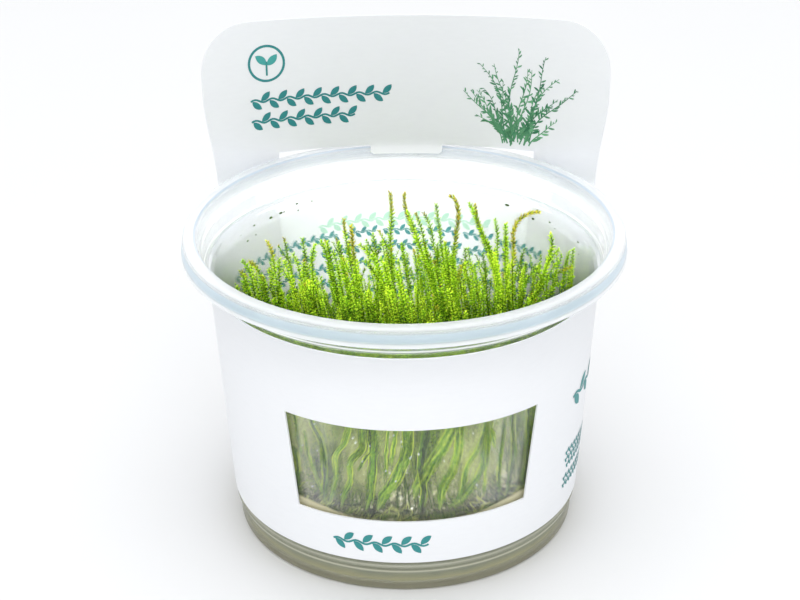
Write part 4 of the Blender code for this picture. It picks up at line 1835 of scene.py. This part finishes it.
    def shoots(self, index: int, cell: float, places: Array, dice: Dice) -> Iterable[Shoot]:
        """The main shoots of a clump, then its finer ones, each followed by its branches.

        Args:
            index: the clump's number.
            cell: half the way to the nearest clump.
            places: where its finer shoots stand.
            dice: chance.

        Returns:
            Each shoot.
        """
        for path in self.ordinary(self.centres()[index], cell, random.Random(self.seed + index)):
            width, brown = dice.uniform(*ORDINARY.width), dice.choice([0.0, 0.0, 0.0, 1.0])
            main = Shoot(path, width, brown, dice.uniform(*ORDINARY.light))
            yield main
            yield from self.branches(main, ORDINARY, dice)
        for path, hooked, brown in self.tall(index, cell):
            width = TALL.width[1] if hooked else dice.uniform(*TALL.width)
            main = Shoot(path, width, brown, dice.uniform(*TALL.light))
            yield main
            yield from self.branches(main, TALL, dice)
        for place in places:
            path = self.filler(place, dice)
            main = Shoot(path, dice.uniform(*FILLER.width), 0.0, dice.uniform(*FILLER.light))
            yield main
            yield from self.branches(main, FILLER, dice)

    def build(self) -> None:
        """One piece for each clump, with its main shoots and the finer ones nearest to it."""
        centres = self.centres()
        dice = np.random.default_rng(self.seed)
        places = self.filler_roots(dice)
        nearest = np.argmin(np.linalg.norm(centres[None, :, :2] - places[:, None], axis=2), axis=1)
        for index, centre in enumerate(centres):
            others = np.delete(centres, index, axis=0)
            cell = float(np.linalg.norm(others - centre, axis=1).min()) / 2
            shapes: list[Surface] = []
            for shoot in self.shoots(index, cell, places[nearest == index], dice):
                shapes += self.leafing.dress(shoot, dice)
            node = f"moss_tuft_{index + 1:02d}"
            add_piece(f"leafy_{node}", joined(shapes), MOSS, [node])


# Each frond pressed against the window: its width, its light, and (angle from the front, height) points
PRESSED_FRONDS = (
    (0.7, 0.20, ((-35.6, 44.0), (-35.2, 38.0), (-34.6, 33.3), (-34.0, 30.0))),
    (1.3, 0.25, ((-36.6, 32.0), (-36.2, 27.5), (-36.4, 22.0), (-36.0, 19.8))),
    (1.6, 0.45, ((-31.1, 46.0), (-29.1, 39.4), (-26.4, 35.0), (-26.0, 29.0), (-27.0, 20.0))),
    (0.8, 0.60, ((-32.4, 36.9), (-31.4, 30.9), (-28.7, 25.2), (-25.8, 20.2))),
    (1.2, 0.85,
     ((-16.4, 46.4), (-17.4, 39.4), (-18.8, 36.2), (-21.7, 33.1), (-22.5, 26.3), (-24.5, 21.8), (-25.0, 19.9))),
    (1.6, 0.70,
     ((-13.0, 46.0), (-13.4, 39.8), (-13.4, 35.4), (-17.0, 32.4), (-17.6, 26.9), (-20.1, 22.5), (-21.3, 19.7))),
    (2.1, 0.50, ((-9.6, 46.0), (-10.1, 40.1), (-10.0, 35.3), (-10.5, 29.4), (-11.6, 23.5), (-12.6, 20.0))),
    (0.9, 0.45, ((-14.8, 29.9), (-12.3, 33.3), (-9.5, 36.0))),
    (0.7, 0.60, ((-4.9, 45.0), (-5.2, 40.3), (-6.1, 34.1), (-6.4, 28.0))),
    (0.9, 0.90, ((-3.0, 45.0), (-3.3, 38.6), (-3.9, 35.5), (-4.5, 31.4))),
    (2.7, 0.60, ((0.9, 46.5), (0.5, 39.5), (-0.1, 34.2), (-2.3, 29.8), (-4.6, 26.6), (-7.0, 23.8), (-9.4, 20.4))),
    (1.6, 0.30, ((6.5, 46.0), (6.0, 39.4), (4.9, 35.4), (4.4, 31.0), (5.5, 24.4), (4.5, 20.0))),
    (3.0, 0.75, ((15.7, 46.6), (13.7, 39.6), (11.0, 35.5), (7.7, 31.7), (4.9, 28.2), (2.5, 23.5))),
    (2.3, 0.75, ((16.8, 46.3), (16.3, 39.3), (16.2, 34.5), (14.1, 29.4), (11.3, 25.2), (10.8, 20.2))),
    (1.5, 0.50, ((25.6, 46.0), (24.3, 38.2), (22.1, 33.7), (19.3, 30.5), (18.0, 25.5), (17.0, 21.0))),
    (2.3, 0.60, ((25.4, 46.6), (24.9, 37.6), (24.3, 28.8), (19.7, 23.8), (13.8, 20.2))),
    (0.9, 0.75, ((26.0, 40.0), (26.8, 37.3), (28.4, 32.9))),
    (0.7, 0.85, ((24.4, 37.0), (24.7, 32.8), (25.3, 28.6), (25.2, 22.0))),
    (1.1, 0.45, ((31.3, 42.2), (31.0, 34.2), (30.3, 27.7), (31.1, 20.5))),
    (1.4, 0.25, ((33.8, 46.8), (34.2, 38.8), (35.5, 30.9), (35.0, 24.9), (33.9, 20.0))),
    (1.6, 0.35, ((40.2, 45.0), (40.6, 37.2), (41.4, 29.1), (40.9, 22.5), (40.1, 19.7))),
)


@dataclass
class WindowGrowth:
    """Fronds that lie pressed against the wall behind the window, and the old stems tangled at the gel."""

    cup: Cup
    gel: Gel
    leafing: Leafing = Leafing(pairs_a_mm=3.2, length=0.9, width=0.5, open_low=0.7, open_high=0.6)
    stands_in: float = 0.5
    half_depth: float = 0.32
    dim: int = 44
    loops: int = 110
    litter: int = 90
    edge_lift: float = 0.2
    edge_dip: float = 2.0
    body_points: int = 90
    body_sides: int = 20
    line_gap: float = 0.42

    def on_wall(self, angle: Array, height: Array, inset: float) -> Array:
        """A point inside the wall: (r sin a, -r cos a, h), with a from the front and r the inset from the wall.

        Args:
            angle: degrees from the front.
            height: heights over the table.
            inset: distance from the wall.

        Returns:
            The points.
        """
        turn = np.radians(angle)
        radius = self.cup.inner_radius(height) - inset
        return np.stack([radius * np.sin(turn), -radius * np.cos(turn), height], axis=1)

    def gel_edge(self, angle: float) -> float:
        """Height of the gel's edge at an angle from the front."""
        return self.gel.top + self.edge_lift - self.edge_dip * self.gel.dip_share(angle)

    def beside(self, path: Array, shares: Array, offset: Array, proud: float) -> Array:
        """Points along a path on the wall, moved aside and outwards.

        Args:
            path: a line on the wall.
            shares: where to read it, from 0 to 1.
            offset: how far to the side, one a share.
            proud: how far outwards.

        Returns:
            The points.
        """
        centre = along(path, shares)
        out = unit(centre * [1, 1, 0])
        side = unit(np.cross(unit(np.gradient(centre, axis=0)), out))
        return centre + offset[:, None] * side + proud * out

    def band(self, path: Array, width: float, light: float, dice: Dice) -> Surface:
        """A frond's body: a flat tube that bulges and narrows, with streaks of light and dark along it. It is darker
        than the frond's leaves: partly its own deeper green, partly painted shade between the leaves.

        Round the tube, a point lies at (w cos t, d sin t) along the wall and out from it, where the half width w
        swells in two slow waves and shrinks to both ends.

        Args:
            path: the frond's middle line.
            width: its width.
            light: from dark, 0, to light, 1.
            dice: chance.

        Returns:
            The tube, with the values light and wither.
        """
        share = np.linspace(0.0, 1.0, self.body_points)
        centre = along(path, share)
        forward = unit(np.gradient(centre, axis=0))
        out = unit(centre * [1, 1, 0])
        side = unit(np.cross(forward, out))
        swell = 0.78 + 0.1 * np.sin(share * 17 + light * 30) + 0.1 * np.sin(share * 61 + width * 9)
        half = width / 2 * swell * between(0.35, 1.0, ease(share * 8) * ease((1 - share) * 6))
        turn = np.arange(self.body_sides) * math.tau / self.body_sides
        drift = 0.05 * width * np.sin(share * 23 + width * 5)
        flat = (half[:, None] * np.cos(turn) + drift[:, None])[..., None] * side[:, None]
        deep = (self.half_depth * np.sin(turn))[None, :, None] * out[:, None]
        streak = dice.uniform(-0.3, 0.3, self.body_sides)[None] * np.sin(share * 13 + light * 11)[:, None]
        streak = streak + dice.uniform(-0.25, 0.25, self.body_sides)[None]
        values = {
            "light": np.clip(0.6 * light + 0.05 + streak, 0.0, 1.0),
            "wither": np.clip(0.5 - 3.5 * share[:, None] + 0 * streak, 0.0, 0.5),
        }
        return grid_surface(centre[:, None] + flat + deep, wrap=True, values=values).as_triangles()

    def strand(self, path: Array, offset: float, light: float, dice: Dice) -> Surface:
        """A thin line of leaf edge along a part of a frond, which wanders a little to either side. Where it is bright
        and runs along the frond's edge, its brightness is a painted highlight.

        Args:
            path: the frond's middle line.
            offset: how far to its side the strand lies.
            light: from dark, 0, to light, 1.
            dice: chance.

        Returns:
            A thin tube.
        """
        first = dice.uniform(0.0, 0.55)
        shares = np.linspace(first, min(first + dice.uniform(0.2, 0.6), 1.0), 30)
        wander = offset + 0.08 * np.sin(shares * dice.uniform(14.0, 50.0) + dice.uniform(0.0, 6.0))
        ends = np.sin(np.linspace(0.08, math.pi - 0.08, 30)) ** 0.5
        values = {"light": light * ends, "wither": 0 * shares}
        centre = self.beside(path, shares, wander, 0.6 * self.half_depth)
        return tube_surface(centre, dice.uniform(0.08, 0.16) * ends, 6, values).as_triangles()

    def frond(self, rows: Sequence[tuple[float, float]], width: float, light: float, dice: Dice) -> Iterable[Surface]:
        """A pressed frond: its body, leaves along both edges, and bright and dark lines over it. The bright lines
        along both edges are painted highlights.

        Args:
            rows: (angle, height) points from the top.
            width: its width.
            light: from dark, 0, to light, 1.
            dice: chance.

        Returns:
            Its surfaces.
        """
        path = self.on_wall(*np.array(rows[::-1]).T, self.stands_in)
        yield self.band(path, width, light, dice)
        shares = np.linspace(0.0, 1.0, 24)
        count = max(round(width / 0.6), 1)
        for offset in (np.arange(count) - (count - 1) / 2) * self.line_gap:
            wander = offset + 0.2 * np.sin(shares * dice.uniform(6.0, 16.0) + dice.uniform(0.0, 6.0))
            line = self.beside(path, shares, wander, 0.7 * self.half_depth)
            yield self.leafing.leaves(Shoot(line, dice.uniform(0.8, 1.1), 0.0, light, flat=True), dice)
        # Bright lines along both edges: painted highlights, the glow of light through the frond's edges
        for side in (-1.0, 1.0):
            for _ in range(2):
                yield self.strand(path, side * width * dice.uniform(0.34, 0.46), dice.uniform(0.85, 1.0), dice)
        for _ in range(int(1.5 * width)):
            yield self.strand(path, width * dice.uniform(-0.4, 0.4), dice.choice([0.0, 0.1, 0.9]), dice)

    def loop(self, dice: Dice) -> Surface:
        """A thin old stem that wanders along the wall just over the gel, dark or bleached.

        Args:
            dice: chance.

        Returns:
            A thin tube.
        """
        angle = dice.uniform(-44.0, 44.0) + np.cumsum(dice.uniform(-3.5, 3.5, 6))
        low = self.gel_edge(angle[0])
        height = low + np.abs(np.cumsum(dice.uniform(-1.4, 2.0, 6)))
        pale = dice.uniform() < 0.15
        path = self.on_wall(angle, height, 0.4 if pale else dice.uniform(0.4, 1.1))
        share = np.linspace(0.0, 1.0, 30)
        light = dice.uniform(0.6, 0.9) if pale else dice.uniform(0.0, 0.35)
        values = {"light": 0 * share + light, "wither": 0 * share + (0.5 if pale else dice.uniform(0.3, 1.0))}
        half = dice.uniform(0.09, 0.16) if pale else dice.uniform(0.1, 0.24)
        return tube_surface(along(path, share), np.full(30, half), 6, values).as_triangles()

    def dead_shoot(self, dice: Dice) -> Shoot:
        """A dark leafy shoot that lies along the gel's edge behind the middle of the window.

        Args:
            dice: chance.

        Returns:
            The shoot, brown all along.
        """
        middle = dice.normal(3.0, 18.0)
        reach = dice.uniform(2.0, 6.0) * dice.choice([-1.0, 1.0])
        low = self.gel_edge(middle) + dice.uniform(-0.2, 1.5)
        rise = np.array([0.0, 0.2, 0.8, 2.4]) * dice.uniform(0.3, 1.8)
        angle = middle + reach * np.array([-1.0, -0.3, 0.4, 1.0])
        path = self.on_wall(angle, low + rise, dice.uniform(0.55, 1.1))
        return Shoot(path, dice.uniform(0.8, 1.3), 4.0, dice.uniform(0.0, 0.35))

    def dim_frond(self, dice: Dice) -> list[Surface]:
        """A slender leafy shoot a little behind the wall, which shows faintly through the mist.

        Args:
            dice: chance.

        Returns:
            Its stem and leaves.
        """
        angle = dice.uniform(-43.0, 43.0) + np.array([2.5, 1.5, 0.5, -1.0, -2.5]) * dice.uniform(-1.5, 2.5)
        angle = angle + dice.uniform(-0.9, 0.9, 5)
        height = np.array([20.0, 25.0, 31.0, 38.0, 46.0])
        path = self.on_wall(angle, height, dice.uniform(0.9, 1.5))
        return self.leafing.dress(Shoot(path, dice.uniform(0.9, 1.5), 0.0, dice.uniform(0.2, 0.8)), dice)

    def build(self) -> None:
        """The pressed fronds, dim ones behind them, and the tangle at the gel."""
        dice = np.random.default_rng(23)
        fronds: list[Surface] = []
        for width, light, rows in PRESSED_FRONDS:
            fronds += self.frond(rows, width, light, dice)
        add_piece("pressed_fronds", joined(fronds), STEEPED)
        tangle: list[Surface] = []
        for _ in range(self.dim):
            tangle += self.dim_frond(dice)
        for _ in range(self.litter):
            tangle += self.leafing.dress(self.dead_shoot(dice), dice)
        tangle += [self.loop(dice) for _ in range(self.loops)]
        add_piece("old_stems", joined(tangle), STEEPED)


@dataclass(frozen=True)
class WallSpecks:
    """Tiny dark bits of moss and tiny beads of water that stick to the inside of the cup's wall."""

    cup: Cup
    bits: int = 18
    beads: int = 26

    def speck(self, angle: float, height: float, size: float, long: float) -> Surface:
        """A small flattened ball on the wall at an angle from the front, a little longer one way.

        Args:
            angle: radians from the front.
            height: its height over the table.
            size: its half height.
            long: its length round the wall, over its size.

        Returns:
            The ball, with the values light and wither.
        """
        turn = np.arange(8) * math.tau / 8
        rise = np.linspace(-math.pi / 2, math.pi / 2, 6)[:, None]
        out = np.array([math.sin(angle), -math.cos(angle), 0.0])
        across = np.array([out[1], -out[0], 0.0])
        middle = out * (self.cup.inner_radius(height) - 0.6 * size) + np.array([0.0, 0.0, height])
        points = (
            middle
            + (np.cos(rise) * np.cos(turn))[..., None] * across * size * long
            + (np.cos(rise) * np.sin(turn))[..., None] * out * 0.5 * size
            + (np.sin(rise) + 0 * turn)[..., None] * np.array([0.0, 0.0, 0.7 * size])
        )
        dark = np.full(points.shape[:2], 0.05)
        return grid_surface(points, wrap=True, values={"light": dark, "wither": dark * 6})

    def build(self) -> None:
        """Bits high on the wall to either side, and beads behind the window."""
        dice = np.random.default_rng(31)
        bits = [
            self.speck(
                math.radians(dice.choice([-1.0, 1.0]) * dice.uniform(105.0, 150.0)),
                dice.uniform(55.0, 59.0),
                dice.uniform(0.15, 0.4),
                dice.uniform(0.8, 1.8),
            )
            for _ in range(self.bits)
        ]
        beads = [
            self.speck(math.radians(dice.normal(-8.0, 18.0)), dice.uniform(23.0, 40.0), dice.uniform(0.12, 0.34), 0.8)
            for _ in range(self.beads)
        ]
        add_piece("stray_bits", joined(bits), STEEPED, closed=True)
        # The beads are coloured near white: a painted highlight for their glints
        add_piece("water_beads_painted_glint", joined(beads), WATER_PAINTED_GLINT, closed=True)


# Studio


@dataclass(frozen=True)
class Studio:
    """A plain white floor, a bright even sky, soft lamps, and the photograph's camera."""

    focal_pixels: float = 2101.0
    image_width: float = 800.0
    elevation: float = 27.02
    distance: float = 454.6
    target: Place = (-0.96, 0.0, 50.14)
    roll: float = -0.45
    sky: float = 1.02

    def camera(self) -> None:
        """A camera at the photograph's distance and angle."""
        data = bpy.data.cameras.new("camera")
        data.sensor_width = 36.0
        data.lens = self.focal_pixels * data.sensor_width / self.image_width
        data.clip_start, data.clip_end = 0.01, 20.0
        camera = add_object("camera", data)
        rise, turn = math.radians(self.elevation), math.radians(self.roll)
        forward = Vector((0.0, math.cos(rise), -math.sin(rise)))
        right, up = Vector((1.0, 0.0, 0.0)), Vector((0.0, math.sin(rise), math.cos(rise)))
        across = right * math.cos(turn) + up * math.sin(turn)
        upward = up * math.cos(turn) - right * math.sin(turn)
        turned = Matrix((across, upward, -forward)).transposed()
        place = (Vector(self.target) - forward * self.distance) * MM
        camera.matrix_world = Matrix.Translation(place) @ turned.to_4x4()
        bpy.context.scene.camera = camera

    def floor(self) -> None:
        """A wide white table."""
        wiring = Wiring("white_table")
        wiring.finish(
            Base_Color=wiring.blend(wiring.noise(8, 3.0), (0.75, 0.75, 0.753), (0.77, 0.77, 0.773)),
            Roughness=0.6,
            Specular_IOR_Level=0.2,
        )
        side = np.linspace(-2500.0, 2500.0, 3)
        x, y = np.meshgrid(side, side)
        mesh = add_mesh("table", grid_surface(np.stack([x, y, 0 * x - 0.05], axis=-1)[:, ::-1]))
        mesh.materials.append(wiring.material)
        add_object("table", mesh)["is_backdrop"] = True

    def lamp(self, name: str, place: Place, size: float, power: float) -> None:
        """A square soft lamp that looks at the cup.

        Args:
            name: the lamp's name.
            place: where it stands, in metres.
            size: the length of its side, in metres.
            power: in watts.
        """
        data = bpy.data.lights.new(name, "AREA")
        data.size, data.energy = size, power
        lamp = add_object(name, data)
        lamp.location = place
        lamp.rotation_euler = (Vector((0, 0, 0.05)) - Vector(place)).to_track_quat("-Z", "Y").to_euler()

    def beam(
        self, name: str, place: Vector, aim: Vector, size: tuple[float, float], power: float, fade: float = 0.4
    ) -> None:
        """A lamp with a narrow oval beam.

        Args:
            name: the lamp's name.
            place: where it stands.
            aim: where its beam lands.
            size: the beam's width and height where it lands.
            power: in watts.
            fade: the share of the beam over which its edge fades out.
        """
        data = bpy.data.lights.new(name, "SPOT")
        data.energy, data.shadow_soft_size = power, 0.004
        data.spot_size, data.spot_blend = 2 * math.atan(size[0] / 2 / (aim - place).length), fade
        lamp = add_object(name, data)
        lamp.location = place
        lamp.rotation_euler = (aim - place).to_track_quat("-Z", "Y").to_euler()
        lamp.scale = (1.0, size[1] / size[0], 1.0)

    def build(self) -> None:
        """Camera, floor, sky and lamps."""
        self.camera()
        self.floor()
        world = bpy.data.worlds.new("white_sky")
        world.use_nodes = True
        sky = world.node_tree.nodes["Background"]
        sky.inputs["Color"].default_value = (0.97, 0.985, 1.0, 1.0)
        sky.inputs["Strength"].default_value = self.sky
        bpy.context.scene.world = world
        self.lamp("overhead_lamp", (0.0, -0.1, 1.0), 1.0, 4.0)
        self.lamp("front_lamp", (0.0, -0.95, 0.8), 0.9, 2.2)
        eye = bpy.context.scene.camera.matrix_world.translation
        self.beam("wall_lamp", eye, Vector((0.0, 0.043, 0.0452)), (0.11, 0.036), 13.0, fade=0.35)
        self.beam("sleeve_lamp", Vector((0.0, -0.6, 0.12)), Vector((0.0, -0.04, 0.028)), (0.17, 0.055), 1.0)
        self.beam("moss_lamp", Vector((0.0, -0.1, 1.0)), Vector((0.0, -0.004, 0.05)), (0.08, 0.08), 34.0)
        bpy.context.scene.view_settings.view_transform = "Standard"


def corners() -> list[list[float]]:
    """The lowest and highest corners of what shows of the object, as plain lists."""
    return [[float(value) for value in corner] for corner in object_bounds()]


def main() -> None:
    """Builds the studio and the object's pieces in order."""
    logging.basicConfig(level=logging.INFO, format="%(message)s")
    for old in list(bpy.data.objects):
        bpy.data.objects.remove(old)
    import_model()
    Studio().build()
    cup = Cup()
    gel = Gel(cup)
    sleeve = CardSleeve(cup)
    steps: tuple[Callable[[], None], ...] = (
        cup.build,
        gel.build,
        WallMist(cup).build,
        sleeve.build,
        CardPrint(sleeve).build,
        MossBed(cup, gel).build,
        WindowGrowth(cup, gel).build,
        WallSpecks(cup).build,
    )
    for step in steps:
        step()
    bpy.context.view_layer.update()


if __name__ == "__main__":
    main()
